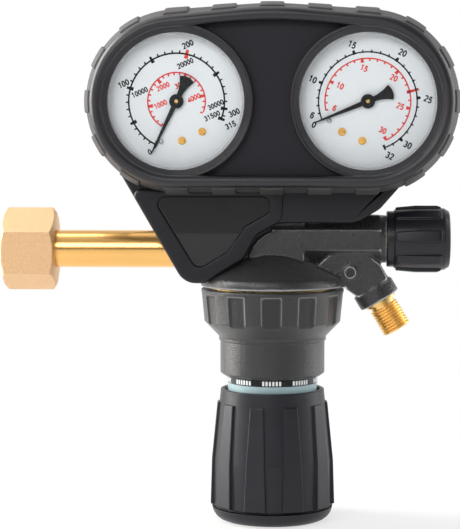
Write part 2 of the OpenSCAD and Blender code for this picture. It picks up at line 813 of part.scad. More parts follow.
stem_shoulder = case_r + stem_len - 10;
stem_neck_r = 5.5;
arbor_r = 0.8;
lens_t = 1.6;
lens_back = case_front - lens_t;
dial_y = lens_back - dial_drop;
dial_t = 0.6;
case_in_r = case_r - case_wall;
arbor_tip = dial_y + 2.2;
arbor_back = 4.6;
tube_coil_r = 20;
tube_from = -2;
tube_sweep = 260;
block_z0 = 3.2 - case_in_r;
block_z1 = -17.5;
front_plate_y = 7;
back_plate_y = 3.6;
plate_th = 1.2;
sector_at = [7, -9.5];
gear_ratio = 10;
gear_d = norm(sector_at);
pinion_r = gear_d / (1 + gear_ratio) - run_gap / 2;
sector_r = gear_d * gear_ratio / (1 + gear_ratio) - run_gap / 2;
sector_y = 2;
tail_at = [4.2, -5.6];
link_y = 3;
post_places = [[-9.5, -12], [12, 1]];
screw_dx = 4.8;
screw_dz = -16.5;
stop_at = 18.6;
stop_offset = 5;
pointer_len = 24.9;
pointer_tail = 11.6;
pointer_hub_r = 3.1;

// Angle of the scale's zero, clockwise from the stem, seen from the front
function zero_angle(side) = (360 - sweep(side)) / 2 + (side == LEFT ? 2.5 : 0);
function sweep(side) = side == LEFT ? pressure_sweep : flow_sweep;

module gauge_case(side)
    color("darkslategray")
    gauge_frame(side)
    difference() {
        along_y(-case_front) cylinder(r = case_r, h = case_front + case_back);
        along_y(-case_front - 1) cylinder(r = case_in_r, h = case_front + 1 + case_back - case_wall);
        translate([0, 0, -case_r - 2]) cylinder(r = stem_neck_r + EPS, h = 10);
    }

module tube_form(grow = 0)
    rotate([90, 0, 0]) rotate([0, 0, tube_from]) rotate_extrude(angle = tube_sweep)
        translate([tube_coil_r, 0]) square([2.2 + grow, 6 + grow], center = true);

module gauge_stem(side)
    color("goldenrod")
    gauge_frame(side)
    difference() {
        union() {
            translate([0, 0, -case_r - 0.9]) cylinder(r = stem_neck_r, h = case_r + 1.4 + block_z0);
            rotate([0, 0, 45]) translate([0, 0, 2.2 - stem_shoulder])
                cylinder(r = stem_af / 2 * sqrt(2), h = stem_shoulder - case_r - 2.6, $fn = 4);
            translate([0, 0, -stem_shoulder]) cylinder(r = socket_r + 1, h = 2.5);
            translate([0, 0, -stem_shoulder - 9]) cylinder(r = socket_r, h = 10);
            translate([-9, -5, block_z0]) cube([18, 5 + back_plate_y, block_z1 - block_z0]);
        }
        translate([0, 0, -stem_shoulder - 10]) cylinder(r = 1.2, h = stem_len + 8);
        tube_form(2 * EPS);
    }

// Flattened tube bent to a C; one end is held in the stem, the other carries the link
module bourdon_tube(side)
    color("peru")
    gauge_frame(side) {
        tube_form();
        translate([tube_coil_r - 1.3, -link_y, -3.2]) cube([2.6, 2 * link_y, 2.8]);
    }

// Link from the tube's tip to the tail of the sector
module gauge_link(side)
    color("goldenrod")
    gauge_frame(side)
    slab(-link_y - 0.8, -link_y)
        link_outline([tube_coil_r, -2], sector_at + tail_at);

module link_outline(a, b) {
    across = 0.8 * [a.y - b.y, b.x - a.x] / norm(a - b);
    polygon([a + across, b + across, b - across, a - across]);
}

module gauge_movement(side)
    color("goldenrod")
    gauge_frame(side)
    difference() {
        union() {
            slab(-front_plate_y - plate_th, -front_plate_y) movement_outline(-19.5);
            slab(back_plate_y, back_plate_y + plate_th) movement_outline(block_z0 + 0.5);
            for (p = post_places) translate([p.x, 0, p.y]) along_y(-front_plate_y - EPS)
                cylinder(r = 1.6, h = front_plate_y + back_plate_y + 2 * EPS);
            for (x = [-1, 1]) translate([x * screw_dx, 0, screw_dz]) along_y(-dial_y + dial_t)
                cylinder(r = 2.2, h = dial_y - dial_t - front_plate_y - plate_th + EPS);
        }
        along_y(-dial_y) cylinder(r = arbor_r + run_gap, h = dial_y + 10);
        translate([sector_at.x, 0, sector_at.y]) along_y(-dial_y) cylinder(r = arbor_r + run_gap, h = dial_y + 10);
        for (x = [-1, 1]) translate([x * screw_dx, 0, screw_dz]) along_y(-dial_y)
            cylinder(r = 1 + EPS, h = dial_y - front_plate_y - 2);
    }

module movement_outline(foot)
    polygon([[-14, -19.5], [-6, -19.5], [-6, foot - EPS], [6, foot - EPS], [6, -19.5],
        [14, -19.5], [14, 3], [5, 4], [-5, 4], [-14, -4]]);

// Sector that drives the pinion; its rim stays just clear of it
module gauge_sector(side)
    color("goldenrod")
    gauge_frame(side)
    translate([sector_at.x, 0, sector_at.y]) {
        along_y(-front_plate_y - plate_th + 0.2) cylinder(r = arbor_r, h = front_plate_y + plate_th + arbor_back - 0.2);
        slab(-sector_y - 0.8, -sector_y) union() {
            circle(r = 2.4);
            intersection() {
                circle(r = sector_r);
                polygon([[1, 0], 20 * [cos(92), sin(92)], 20 * [cos(112), sin(112)], 20 * [cos(133), sin(133)], [-1, -1]]);
            }
            polygon([[-1.6, 0.5], [1.6, 0.5], tail_at + [0.9, 0.6], tail_at + [-0.9, -0.6]]);
        }
    }

module gauge_pinion(side)
    color("silver")
    gauge_frame(side) {
        along_y(-arbor_tip) cylinder(r = arbor_r, h = arbor_tip + arbor_back);
        along_y(-sector_y - 1.4) cylinder(r = pinion_r, h = 2);
    }

module gauge_dial(side)
    color("white")
    gauge_frame(side)
    difference() {
        along_y(-dial_y) cylinder(r = case_in_r - 0.3, h = dial_t);
        along_y(-dial_y - 1) cylinder(r = 1.8, h = dial_t + 2);
        for (x = [-1, 1]) translate([x * screw_dx, 0, screw_dz]) along_y(-dial_y - 1) cylinder(r = 1.1, h = dial_t + 2);
        stop_frame(side) along_y(-dial_y - 1) cylinder(r = 0.8, h = dial_t + 2);
    }

// The stop pin stands just behind the pointer's zero
module stop_frame(side)
    rotate([0, zero_angle(side) - stop_offset, 0]) translate([0, 0, -stop_at]) children();

module gauge_dial_screws(side)
    color("orange")
    gauge_frame(side) {
        for (x = [-1, 1]) translate([x * screw_dx, 0, screw_dz]) {
            along_y(-dial_y - 0.8) cylinder(r = 1.7, h = 0.8 - EPS);
            along_y(-dial_y - 0.5) cylinder(r = 1, h = 8);
        }
        stop_frame(side) along_y(-dial_y - 2) cylinder(r = 0.7, h = 3.5);
    }

module gauge_pointer(side)
    color("black")
    gauge_frame(side)
    difference() {
        slab(-arbor_tip + 0.4, -arbor_tip + 1.2) rotate(180 - zero_angle(side)) pointer_outline();
        along_y(-arbor_tip - 1) cylinder(r = arbor_r + EPS, h = 4);
    }

module pointer_outline() {
    circle(r = pointer_hub_r);
    polygon([[1.1, 0], [0.3, pointer_len], [-0.3, pointer_len], [-1.1, 0],
        [-3.3, -pointer_tail + 1], [0, -pointer_tail], [3.3, -pointer_tail + 1]]);
}

module gauge_lens(side)
    color("lightcyan", 0.4)
    gauge_frame(side) along_y(-case_front) cylinder(r = case_in_r - 0.05, h = lens_t);

// Cover

cover_front_r = cover_r - 3.7;
rim_arch = cover_arch + 1.5;
arch_r = 150;
lug_pitch = 29.2;
lug_angle = 14.6;
lug_w = 10.6;
lobe_steps = 18;
rim_w = 4.6;

// Corners of the outline that wraps both gauges at radius r
function housing(r, arch) =
    let (w = gauge_dx + r, low = gauge_z - r)
    let (side_z = gauge_z + r * (1 - sin(arch)) / cos(arch))
    let (mid_z = gauge_z + (r + gauge_dx * sin(arch)) / cos(arch))
    [[-w, low, r], [w, low, r], [w, side_z, r], [0, mid_z, arch_r], [-w, side_z, r]];

module housing_outline(r, arch = cover_arch) polygon(rounded(housing(r, arch), lobe_steps));

module front_form(grow = 0)
    hull() {
        slab(-rim_front, -rim_front + 0.1) housing_outline(cover_front_r - 2.2 + grow, rim_arch);
        slab(-rim_front + 1.2, -rim_front + 1.3) housing_outline(cover_front_r + grow, rim_arch);
        slab(-17, -cover_split) housing_outline(cover_r + grow);
    }

module back_form()
    hull() {
        slab(-cover_split, cover_back_y - 7) housing_outline(cover_r - 0.4);
        slab(cover_back_y - 0.1, cover_back_y) housing_outline(cover_r - 7);
    }

module lug_sectors() {
    wedge_r = cover_r * 2;
    for (side = [LEFT, RIGHT])
        for (k = [-2 : 2])
            translate([side * gauge_dx, gauge_z]) rotate(90 - side * 90 + k * lug_pitch)
                polygon([[0, 0], wedge_r * [cos(lug_angle / 2), -sin(lug_angle / 2)],
                    wedge_r * [cos(lug_angle / 2), sin(lug_angle / 2)]]);
    for (k = [-2 : 2]) translate([k * gauge_dx / 2 - lug_w / 2, gauge_z - wedge_r]) square([lug_w, 2 * wedge_r]);
}

module lugs()
    intersection() {
        front_form(lug_out);
        slab(-rim_front + 4.5, -cover_split - 3) lug_sectors();
    }

// Corners of the skirt, from its lower left counter-clockwise
skirt = [
    [-38.6, -14.1, 9], [-29.5, -14.1, 6], [-12.4, -3.6, 5], [-7, 7, 7], [3, 12.2, 8],
    [37, 12.6, 14], [47, 18.5, 10], [66, 40, 1], [66, 50, 1], [-75.8, 50, 1]
];
// Corners of the raised frame around the plate
frame_corners = [
    [-38.6, -14.1, 9], [-29.5, -14.1, 6], [-12.4, -3.6, 5], [-7, 7, 7], [4.5, 13.5, 6], [5, 28.5, 3], [-63.3, 28.5, 3]
];
// Corners of the recess for the plate
plate_corners = [
    [-32.8, -8.2, 4], [-19.4, 0, 4], [-11.6, 11.2, 3], [-1.2, 17.2, 3], [-1.2, 24.2, 3.5], [-52.6, 24.2, 3.5]
];
plate_gap = 0.1;
panel_bosses = [[0, 90], [0, 40]];
skirt_bosses = [[-51, 24], [46, 27]];
boss_places = concat(panel_bosses, skirt_bosses);
boss_r = 3.6;

module frame_form() slab(-skirt_front - frame_out, -skirt_front + EPS) polygon(rounded(frame_corners));

// Space that the body and the stems need inside the cover
module body_room() {
    gap = slack + 0.2;
    rotate_extrude()
        polygon([
            [0, dome_z + gap], [dome_r + gap, dome_z + gap], [flange_r + gap, flange_z + gap],
            [flange_r + gap, clamp_z], [0, clamp_z]
        ]);
    along_x(-axis_x, 0) cylinder(r = tube_r + gap, h = axis_x);
    along_x(-inlet_boss_len - gap, 0) cylinder(r = inlet_boss_r + gap, h = inlet_boss_len);
    branch(gap);
    for (side = [LEFT, RIGHT]) port_frame(side) cylinder(r = port_r + gap, h = port_face);
    slab(-block_y - gap, block_y + gap) polygon(rounded(inset(block_corners, -gap)));
    slab(-branch_af / 2 - gap, branch_af / 2 + gap) polygon(rounded(inset(face_corners, -gap)));
    slab(-web_y - gap, web_y + gap) polygon(rounded(inset(web_corners, -gap)));
}

module gauge_room()
    for (side = [LEFT, RIGHT])
        translate([side * gauge_dx, 0, gauge_z]) along_y(-lens_back - lens_t - 0.2)
            cylinder(r = case_r + 0.1, h = case_front + case_back + 0.4);

module screw_bosses(places, y0, y1) slab(y0, y1) for (p = places) translate(p) circle(r = boss_r);
module screw_holes(r, y0, y1) slab(y0, y1) for (p = boss_places) translate(p) circle(r = r);

module cover_front()
    color([0.17, 0.17, 0.19])
    on_axis()
    difference() {
        union() {
            difference() {
                union() {
                    front_form();
                    lugs();
                    slab(-skirt_front, -cover_split) polygon(rounded(skirt));
                    frame_form();
                }
                slab(-rim_front + panel_drop + cover_wall, 0) housing_outline(cover_r - 2 * cover_wall);
                slab(-skirt_front + cover_wall, 0) polygon(rounded(inset(skirt, cover_wall)));
            }
            screw_bosses(panel_bosses, -rim_front + panel_drop, -cover_split);
            screw_bosses(skirt_bosses, -skirt_front + cover_wall - EPS, -cover_split);
        }
        front_recess();
        gauge_room();
        for (side = [LEFT, RIGHT]) translate([side * gauge_dx, 0, gauge_z]) {
            along_y(-rim_front - 1) cylinder(r = window_r, h = 20);
            along_y(-rim_front - EPS) cylinder(r1 = window_r + 5, r2 = window_r, h = rim_front - case_front - 1);
        }
        slab(-skirt_front - frame_out - 1, -skirt_front - frame_out + plate_drop) polygon(rounded(plate_corners));
        screw_holes(cover_screw_r - 0.1, -cover_split - 14, 0);
        body_room();
    }

// Recess of the panel inside the rim, with the two bezels left standing
module front_recess()
    difference() {
        slab(-rim_front - 1, -rim_front + panel_drop) housing_outline(cover_front_r - rim_w);
        for (side = [LEFT, RIGHT]) translate([side * gauge_dx, 0, gauge_z])
            along_y(-rim_front + 3) cylinder(r = window_r + 4.1, h = 20);
    }

module cover_back()
    color([0.17, 0.17, 0.19])
    on_axis()
    difference() {
        union() {
            difference() {
                union() {
                    back_form();
                    slab(-cover_split, cover_back_y - 2) polygon(rounded(inset(skirt, 0.4)));
                }
                slab(-cover_split - 1, cover_back_y - 8) housing_outline(cover_r - 0.4 - cover_wall);
                slab(-cover_split - 1, cover_back_y - cover_wall) housing_outline(cover_r - 7 - cover_wall);
                slab(-cover_split - 1, cover_back_y - 2 - cover_wall) polygon(rounded(inset(skirt, 0.4 + cover_wall)));
            }
            screw_bosses(boss_places, -cover_split, cover_back_y - 2);
        }
        gauge_room();
        screw_holes(cover_screw_r + 0.2, -cover_split - 1, cover_back_y + 1);
        slab(cover_back_y - 4, cover_back_y + 1) for (p = boss_places) translate(p) circle(r = cover_screw_r * 2 + 0.1);
        body_room();
    }

module nameplate()
    color([0.08, 0.08, 0.08])
    on_axis()
    slab(-skirt_front - frame_out + plate_drop - 0.8, -skirt_front - frame_out + plate_drop)
        polygon(rounded(inset(plate_corners, plate_gap)));

module cover_screws()
    color("silver")
    on_axis() {
        slab(-cover_split - 12, cover_back_y - 4) for (p = boss_places) translate(p) circle(r = cover_screw_r - 0.1 - EPS);
        slab(cover_back_y - 4, cover_back_y - 1.6) for (p = boss_places) translate(p) circle(r = cover_screw_r * 2);
    }

inlet_nut();
inlet_stem();
inlet_seal();
inlet_filter();
body();
bore_plug();
top_plug();
poppet_seat();
poppet();
poppet_spring();
diaphragm();
diaphragm_plate();
slip_ring();
bonnet();
main_spring();
spring_button();
adjusting_screw();
screw_clip();
label_ring();
ring_sleeve();
adjusting_knob();
knob_screw();
knob_cap();
valve_gland();
gland_seal();
valve_spindle();
valve_plug();
valve_knob();
valve_knob_cap();
outlet_nipple();
gauge_case(LEFT);  // pressure_case
gauge_stem(LEFT);  // pressure_stem
bourdon_tube(LEFT);  // pressure_bourdon_tube
gauge_link(LEFT);  // pressure_link
gauge_movement(LEFT);  // pressure_movement
gauge_sector(LEFT);  // pressure_sector
gauge_pinion(LEFT);  // pressure_pinion
gauge_dial(LEFT);  // pressure_dial
gauge_dial_screws(LEFT);  // pressure_dial_screws
gauge_pointer(LEFT);  // pressure_pointer
gauge_lens(LEFT);  // pressure_lens
gauge_case(RIGHT);  // flow_case
gauge_stem(RIGHT);  // flow_stem
bourdon_tube(RIGHT);  // flow_bourdon_tube
gauge_link(RIGHT);  // flow_link
gauge_movement(RIGHT);  // flow_movement
gauge_sector(RIGHT);  // flow_sector
gauge_pinion(RIGHT);  // flow_pinion
gauge_dial(RIGHT);  // flow_dial
gauge_dial_screws(RIGHT);  // flow_dial_screws
gauge_pointer(RIGHT);  // flow_pointer
gauge_lens(RIGHT);  // flow_lens
cover_front();
cover_back();
nameplate();
cover_screws();
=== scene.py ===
import json
from math import acos, atan2, cos, hypot, pi, radians, sin, sqrt, tan

import bmesh
import bpy
from mathutils import Matrix, Vector
from mathutils.geometry import tessellate_polygon


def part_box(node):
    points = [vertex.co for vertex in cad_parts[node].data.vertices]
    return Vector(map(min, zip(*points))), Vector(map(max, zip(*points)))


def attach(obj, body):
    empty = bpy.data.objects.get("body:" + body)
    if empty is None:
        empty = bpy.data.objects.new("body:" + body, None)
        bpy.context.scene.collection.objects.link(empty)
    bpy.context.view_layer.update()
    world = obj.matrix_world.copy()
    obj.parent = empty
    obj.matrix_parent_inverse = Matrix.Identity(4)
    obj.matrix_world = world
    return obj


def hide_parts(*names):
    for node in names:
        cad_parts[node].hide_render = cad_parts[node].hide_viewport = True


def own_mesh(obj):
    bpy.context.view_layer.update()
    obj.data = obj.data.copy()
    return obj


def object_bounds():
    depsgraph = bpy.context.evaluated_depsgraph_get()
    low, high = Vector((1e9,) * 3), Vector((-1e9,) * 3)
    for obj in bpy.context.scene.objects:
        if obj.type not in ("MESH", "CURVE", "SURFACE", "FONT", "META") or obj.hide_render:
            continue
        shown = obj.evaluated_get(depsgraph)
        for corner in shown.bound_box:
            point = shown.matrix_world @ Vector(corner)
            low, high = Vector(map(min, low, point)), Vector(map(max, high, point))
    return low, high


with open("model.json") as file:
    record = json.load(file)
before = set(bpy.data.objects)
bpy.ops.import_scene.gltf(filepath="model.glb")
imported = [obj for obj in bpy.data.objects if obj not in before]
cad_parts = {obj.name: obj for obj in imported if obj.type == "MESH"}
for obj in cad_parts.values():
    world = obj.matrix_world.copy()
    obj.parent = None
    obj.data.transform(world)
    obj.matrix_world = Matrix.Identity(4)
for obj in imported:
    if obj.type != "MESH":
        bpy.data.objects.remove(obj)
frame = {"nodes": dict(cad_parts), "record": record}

cad_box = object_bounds()
scene = bpy.context.scene

# Frame, camera, lights and floor are in metres. Pieces are drawn in millimetres and scaled once.
MM = 0.001
ROOT = "regulator"

# Places taken from the frame
X, Y, Z = 0, 1, 2


def ends(node, axis):
    """Where the node starts and ends along an axis, in millimetres."""
    low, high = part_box(node)
    return low[axis] / MM, high[axis] / MM


def middle(node, axis):
    return sum(ends(node, axis)) / 2


def half_width(node, axis):
    low, high = ends(node, axis)
    return (high - low) / 2


AXIS_X = middle("bonnet", X)
GAUGE_Z = middle("pressure_lens", Z)
GAUGE_DX = (middle("flow_lens", X) - middle("pressure_lens", X)) / 2
BRANCH_Z = middle("valve_gland", Z)
GAUGE_LEAN = radians(24)
LEFT, RIGHT = -1, 1
# Where each scale starts, in degrees clockwise from straight down
LEFT_ZERO, RIGHT_ZERO = 25.8, 68.1
GAUGES = ((LEFT, "pressure", LEFT_ZERO), (RIGHT, "flow", RIGHT_ZERO))


def move(x, y, z):
    return Matrix.Translation((x, y, z))


def turn(angle, axis):
    return Matrix.Rotation(angle, 4, axis)


# Local frames. A revolved piece is drawn around local Z.
ON_AXIS = move(AXIS_X, 0, 0)
TO_FRONT = turn(pi / 2, "X")


def window_frame(side):
    """Origin on the gauge's centre line, local Z towards the reader, local X and Y along the picture."""
    return move(AXIS_X + side * GAUGE_DX, 0, GAUGE_Z) @ TO_FRONT


# Materials


class Nodes:
    """Short way to add and link the nodes of a material or a world."""

    def __init__(self, owner):
        owner.use_nodes = True
        self.tree = owner.node_tree

    def put(self, node, key, value):
        """Gives a socket a constant, or links it to an output."""
        if isinstance(value, bpy.types.NodeSocket):
            self.tree.links.new(value, node.inputs[key])
        else:
            node.inputs[key].default_value = value

    def add(self, kind, values, **settings):
        """Adds a node; values are for its sockets, settings are its own properties."""
        node = self.tree.nodes.new(kind)
        for key, value in settings.items():
            setattr(node, key, value)
        for key, value in values.items():
            self.put(node, key, value)
        return node

    def coords(self, stretch=(1, 1, 1)):
        place = self.add("ShaderNodeTexCoord", {}).outputs["Object"]
        return self.add("ShaderNodeMapping", {"Vector": place, "Scale": stretch}).outputs["Vector"]

    def noise(self, scale, detail=3.0, roughness=0.55, stretch=(1, 1, 1)):
        return self.add("ShaderNodeTexNoise", {
            "Vector": self.coords(stretch), "Scale": scale, "Detail": detail, "Roughness": roughness,
        }).outputs["Fac"]

    def spread(self, value, low, high, new_low=0.0, new_high=1.0, **settings):
        """Carries a value over from one range to another."""
        return self.add("ShaderNodeMapRange", {
            "Value": value, "From Min": low, "From Max": high, "To Min": new_low, "To Max": new_high,
        }, **settings).outputs["Result"]

    def smooth(self, value, low, high, new_low, new_high):
        """The same with a soft start and end."""
        return self.spread(value, low, high, new_low, new_high, interpolation_type="SMOOTHSTEP")

    def math(self, operation, first, second):
        return self.add("ShaderNodeMath", {0: first, 1: second}, operation=operation).outputs[0]

    def mix(self, factor, first, second):
        return self.add("ShaderNodeMix", {0: factor, 6: first, 7: second}, data_type="RGBA").outputs[2]

    def bump(self, height, distance, normal):
        values = {"Height": height, "Distance": distance, "Normal": normal}
        return self.add("ShaderNodeBump", values).outputs["Normal"]


def principled(name):
    """A new material, its nodes and its shader."""
    material = bpy.data.materials.new(name)
    n = Nodes(material)
    return material, n, n.tree.nodes["Principled BSDF"]


def shade(colour, factor=1.0):
    return (*(min(1.0, c * factor) for c in colour), 1.0)


# How far the noise rises from no speck to a full one
SPECK_EDGE = 0.08


def finish_material(
    name, colour, roughness, mottle=(120, 0.08), grain=(4200, 0.00002), metallic=0.0, edge=0.0002, pits=None,
    worn=None, edge_highlight=None, rough_spread=0.06, stretch=(1, 1, 1), specular=0.5, sheen=0.0,
):
    """Mottled colour, varied roughness, fine bump and rounded edges.

    mottle, grain and pits are a scale and a strength each; edge is the radius of the rounding. worn is a
    (colour, scale, share) of specks; edge_highlight is the (colour, from, to) of the painted highlight on
    convex edges.
    """
    material, n, shader = principled(name)
    cloud = n.noise(mottle[0], stretch=stretch)
    base = n.mix(n.spread(cloud, 0.3, 0.7), shade(colour, 1 - mottle[1]), shade(colour, 1 + mottle[1]))
    if worn:
        worn_colour, worn_scale, worn_share = worn
        speck = n.spread(n.noise(worn_scale, detail=2.0), 1 - worn_share, 1 - worn_share + SPECK_EDGE)
        base = n.mix(speck, base, shade(worn_colour))
    # Painted highlight: convex edges, picked out by pointiness, take a paler colour
    if edge_highlight:
        highlight_colour, least, most = edge_highlight
        convex = n.add("ShaderNodeNewGeometry", {}).outputs["Pointiness"]
        base = n.mix(n.spread(convex, least, most), base, shade(highlight_colour))
    normal = n.add("ShaderNodeBevel", {"Radius": edge}, samples=4).outputs["Normal"]
    normal = n.bump(n.noise(grain[0], detail=4.0, roughness=0.7, stretch=stretch), grain[1], normal)
    if pits:
        cells = n.add("ShaderNodeTexVoronoi", {"Vector": n.coords(), "Scale": pits[0]}, feature="SMOOTH_F1")
        normal = n.bump(cells.outputs["Distance"], pits[1], normal)
    for key, value in {
        "Base Color": base, "Normal": normal, "Metallic": metallic, "Specular IOR Level": specular,
        "Sheen Weight": sheen,
        "Roughness": n.spread(cloud, 0.2, 0.8, roughness - rough_spread, roughness + rough_spread),
    }.items():
        n.put(shader, key, value)
    return material


def clear_material(name, colour, roughness, alpha, edge_colour):
    """Clear plastic: see-through where it faces the reader, denser towards its edges, where edge_colour takes
    over; a paler edge_colour there is a painted reflection.
    """
    material, n, shader = principled(name)
    facing = n.add("ShaderNodeLayerWeight", {"Blend": 0.35}).outputs["Facing"]
    n.put(shader, "Base Color", n.mix(facing, shade(colour), shade(edge_colour)))
    n.put(shader, "Alpha", n.spread(facing, 0.0, 1.0, alpha, min(1.0, alpha * 3 + 0.15)))
    n.put(shader, "Roughness", n.spread(n.noise(200), 0.3, 0.7, roughness, roughness + 0.03))
    return material


# Metals
NUT = finish_material("nut_brass", (0.76, 0.49, 0.265), 0.5, (1500, 0.10), (3200, 0.00012), 0.6, 0.0006)
TUBE = finish_material("tube_brass", (0.88, 0.51, 0.17), 0.2, (60, 0.10), (700, 0.000006), 1.0, 0.0005,
                       rough_spread=0.05, stretch=(0.15, 1, 1))
BRASS = finish_material("turned_brass", (1.0, 0.62, 0.21), 0.3, (400, 0.1), (1500, 0.00001), 0.85)
DIAL_BRASS = finish_material("dial_brass", (0.95, 0.52, 0.10), 0.3, (600, 0.1), (2500, 0.00001), 0.5)
BRONZE = finish_material("tube_bronze", (0.60, 0.36, 0.20), 0.3, (300, 0.12), (1500, 0.00001), 1.0)
STEEL = finish_material("steel", (0.56, 0.57, 0.58), 0.28, (400, 0.06), (2500, 0.000008), 1.0)
SINTER = finish_material("sintered_bronze", (0.48, 0.30, 0.16), 0.6, (2500, 0.3), (5000, 0.00008), 1.0,
                         0.0003)

# Paint on the castings
PAINT = dict(grain=(2600, 0.00006), pits=(2200, 0.00015), sheen=0.15)
# Body paint, with a pale painted highlight on its convex edges
BODY = finish_material("body_paint", (0.009, 0.009, 0.010), 0.30, (500, 0.25), edge=0.0006, specular=0.7,
                       worn=((0.05, 0.05, 0.052), 2400, 0.30), edge_highlight=((0.60, 0.60, 0.61), 0.515, 0.56),
                       **PAINT)


def bonnet_paint(name, grey, worn_grey, share, specular=0.7):
    return finish_material(name, (grey,) * 3, 0.32, (500, 0.2), edge=0.0003, specular=specular,
                           worn=((worn_grey,) * 3, 2400, share), **PAINT)


BONNET = bonnet_paint("bonnet_paint", 0.006, 0.045, 0.30)
# Pocket floors darker than the bonnet: painted shade; pocket upper edges paler: painted highlight
POCKET_SHADE = bonnet_paint("pocket_floor_shade", 0.003, 0.03, 0.2, 0.6)
POCKET_HIGHLIGHT = bonnet_paint("pocket_edge_highlight", 0.10, 0.20, 0.4)

# Plastics
COVER = finish_material("cover_plastic", (0.008, 0.008, 0.011), 0.38, (90, 0.10), edge=0.0006, specular=0.55)
# Tread band and lugs: the cover's rubber in a lighter, warmer grey, which paints the light on the sloped band
TREAD_LIT = finish_material("tread_plastic_lit", (0.048, 0.045, 0.045), 0.55, (90, 0.12), (3000, 0.00004),
                        edge=0.0005, specular=0.4)
PANEL = finish_material("panel_plastic", (0.011, 0.010, 0.015), 0.52, edge=0.0004, specular=0.25)
SKIRT_BLACK = finish_material("skirt_plastic", (0.006, 0.006, 0.009), 0.42, edge=0.0005, specular=0.35)
KNOB = finish_material("knob_plastic", (0.012, 0.012, 0.017), 0.42, (120, 0.10), edge=0.0004, specular=0.35)
VALVE_KNOB = finish_material("valve_knob_plastic", (0.008, 0.008, 0.012), 0.33, (120, 0.10), edge=0.0004,
                             specular=0.4)
PLATE_GLOSS = finish_material("plate_gloss", (0.005, 0.005, 0.006), 0.2, (120, 0.05), (1500, 0.000003))
PLATE_MATTE = finish_material("plate_matte", (0.011, 0.011, 0.013), 0.6, (300, 0.1), (3500, 0.00003))
CASE = finish_material("case_black", (0.02, 0.02, 0.02), 0.35, (200, 0.1), (2500, 0.00001), edge=0.0005)
WHITE = finish_material("white_polymer", (0.75, 0.75, 0.72), 0.4, (300, 0.03), (2500, 0.000006))
RUBBER = finish_material("black_rubber", (0.02, 0.02, 0.02), 0.7, (300, 0.1), (2500, 0.00001), edge=0.0003)
LENS = clear_material("lens_clear", (0.85, 0.90, 0.92), 0.03, 0.01, (0.85, 0.90, 0.92))
# Grey see-through ring at each window's border: painted shade of the glass rim, paler towards its edges as a
# painted reflection
LENS_EDGE_SHADE = clear_material("lens_edge_shade", (0.42, 0.42, 0.44), 0.08, 0.3, (0.85, 0.86, 0.88))
# Sleeve: paler teal towards its edges, a painted reflection
SLEEVE = clear_material("sleeve_clear", (0.10, 0.13, 0.14), 0.04, 0.01, (0.62, 0.72, 0.74))

# Dials, pointers and the printed ring
LABEL = finish_material("label_black", (0.006, 0.006, 0.007), 0.35, (150, 0.05), (2000, 0.000004),
                        specular=0.2)
LABEL_PALE = finish_material("label_pale", (0.36, 0.50, 0.53), 0.4, (300, 0.04), (2000, 0.000004))
DIAL = finish_material("dial_white", (0.80, 0.84, 0.87), 0.5, (250, 0.012), (900, 0.000003))
POINTER = finish_material("pointer_black", (0.006, 0.006, 0.007), 0.5, (600, 0.1), (3000, 0.000006),
                          specular=0.15)


def ink(name, colour, roughness, clouds, specular=0.5):
    return finish_material(name, colour, roughness, (600, clouds), (2000, 0.000002), edge=0.0001,
                           specular=specular)


PRINT_WHITE = ink("print_white", (0.85, 0.85, 0.85), 0.4, 0.02)
PRINT_BLACK = ink("print_black", (0.010, 0.010, 0.011), 0.5, 0.05, 0.1)
PRINT_RED = ink("print_red", (0.78, 0.045, 0.030), 0.5, 0.04, 0.3)

SLOT_MATERIAL = {
    "nut_brass": NUT, "brass": BRASS, "body_paint": BODY, "bonnet_paint": BONNET, "cover_rubber": COVER,
    "cover_back_plastic": COVER, "plate_black": PLATE_GLOSS, "knob_plastic": KNOB,
    "valve_knob_plastic": VALVE_KNOB, "label_black": LABEL, "clear_sleeve": SLEEVE, "lens_clear": LENS,
    "dial_white": DIAL, "pointer_black": POINTER, "case_black": CASE, "movement_brass": BRASS,
    "tube_bronze": BRONZE, "steel": STEEL, "spring_steel": STEEL, "white_polymer": WHITE,
    "black_rubber": RUBBER, "filter_bronze": SINTER,
}
SMOOTH_ANGLE = radians(32)


def smooth_mesh(mesh, material, angle=SMOOTH_ANGLE):
    """Gives the mesh its only material, and smooth shading up to an angle."""
    mesh.materials.clear()
    mesh.materials.append(material)
    mesh.shade_smooth()
    mesh.set_sharp_from_angle(angle=angle)


for part in frame["record"]["subparts"]:
    own = TUBE if part["node"] == "inlet_stem" else SLOT_MATERIAL[part["material_slot"]]
    smooth_mesh(frame["nodes"][part["node"]].data, own)

# Mesh building

# Points closer than this are joined; points on the axis of a revolved piece keep a smaller distance from it
WELD = 1e-4
AT_AXIS = 2e-5


def add_piece(
    name, bm, material, body, slot, replaces=(), place=Matrix.Identity(4), smooth=SMOOTH_ANGLE, weighted=True,
):
    """Turns a drawing in millimetres into a piece at its place, and ties it to its CAD body."""
    bmesh.ops.remove_doubles(bm, verts=bm.verts, dist=WELD)
    bmesh.ops.recalc_face_normals(bm, faces=bm.faces)
    mesh = bpy.data.meshes.new(name)
    bm.to_mesh(mesh)
    bm.free()
    mesh.transform(Matrix.Scale(MM, 4) @ place)
    smooth_mesh(mesh, material, smooth)
    thing = bpy.data.objects.new(name, mesh)
    scene.collection.objects.link(thing)
    if weighted:
        keep = thing.modifiers.new("normals", "WEIGHTED_NORMAL")
        keep.keep_sharp = True
    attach(thing, body)
    if replaces:
        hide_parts(*replaces)
    return thing


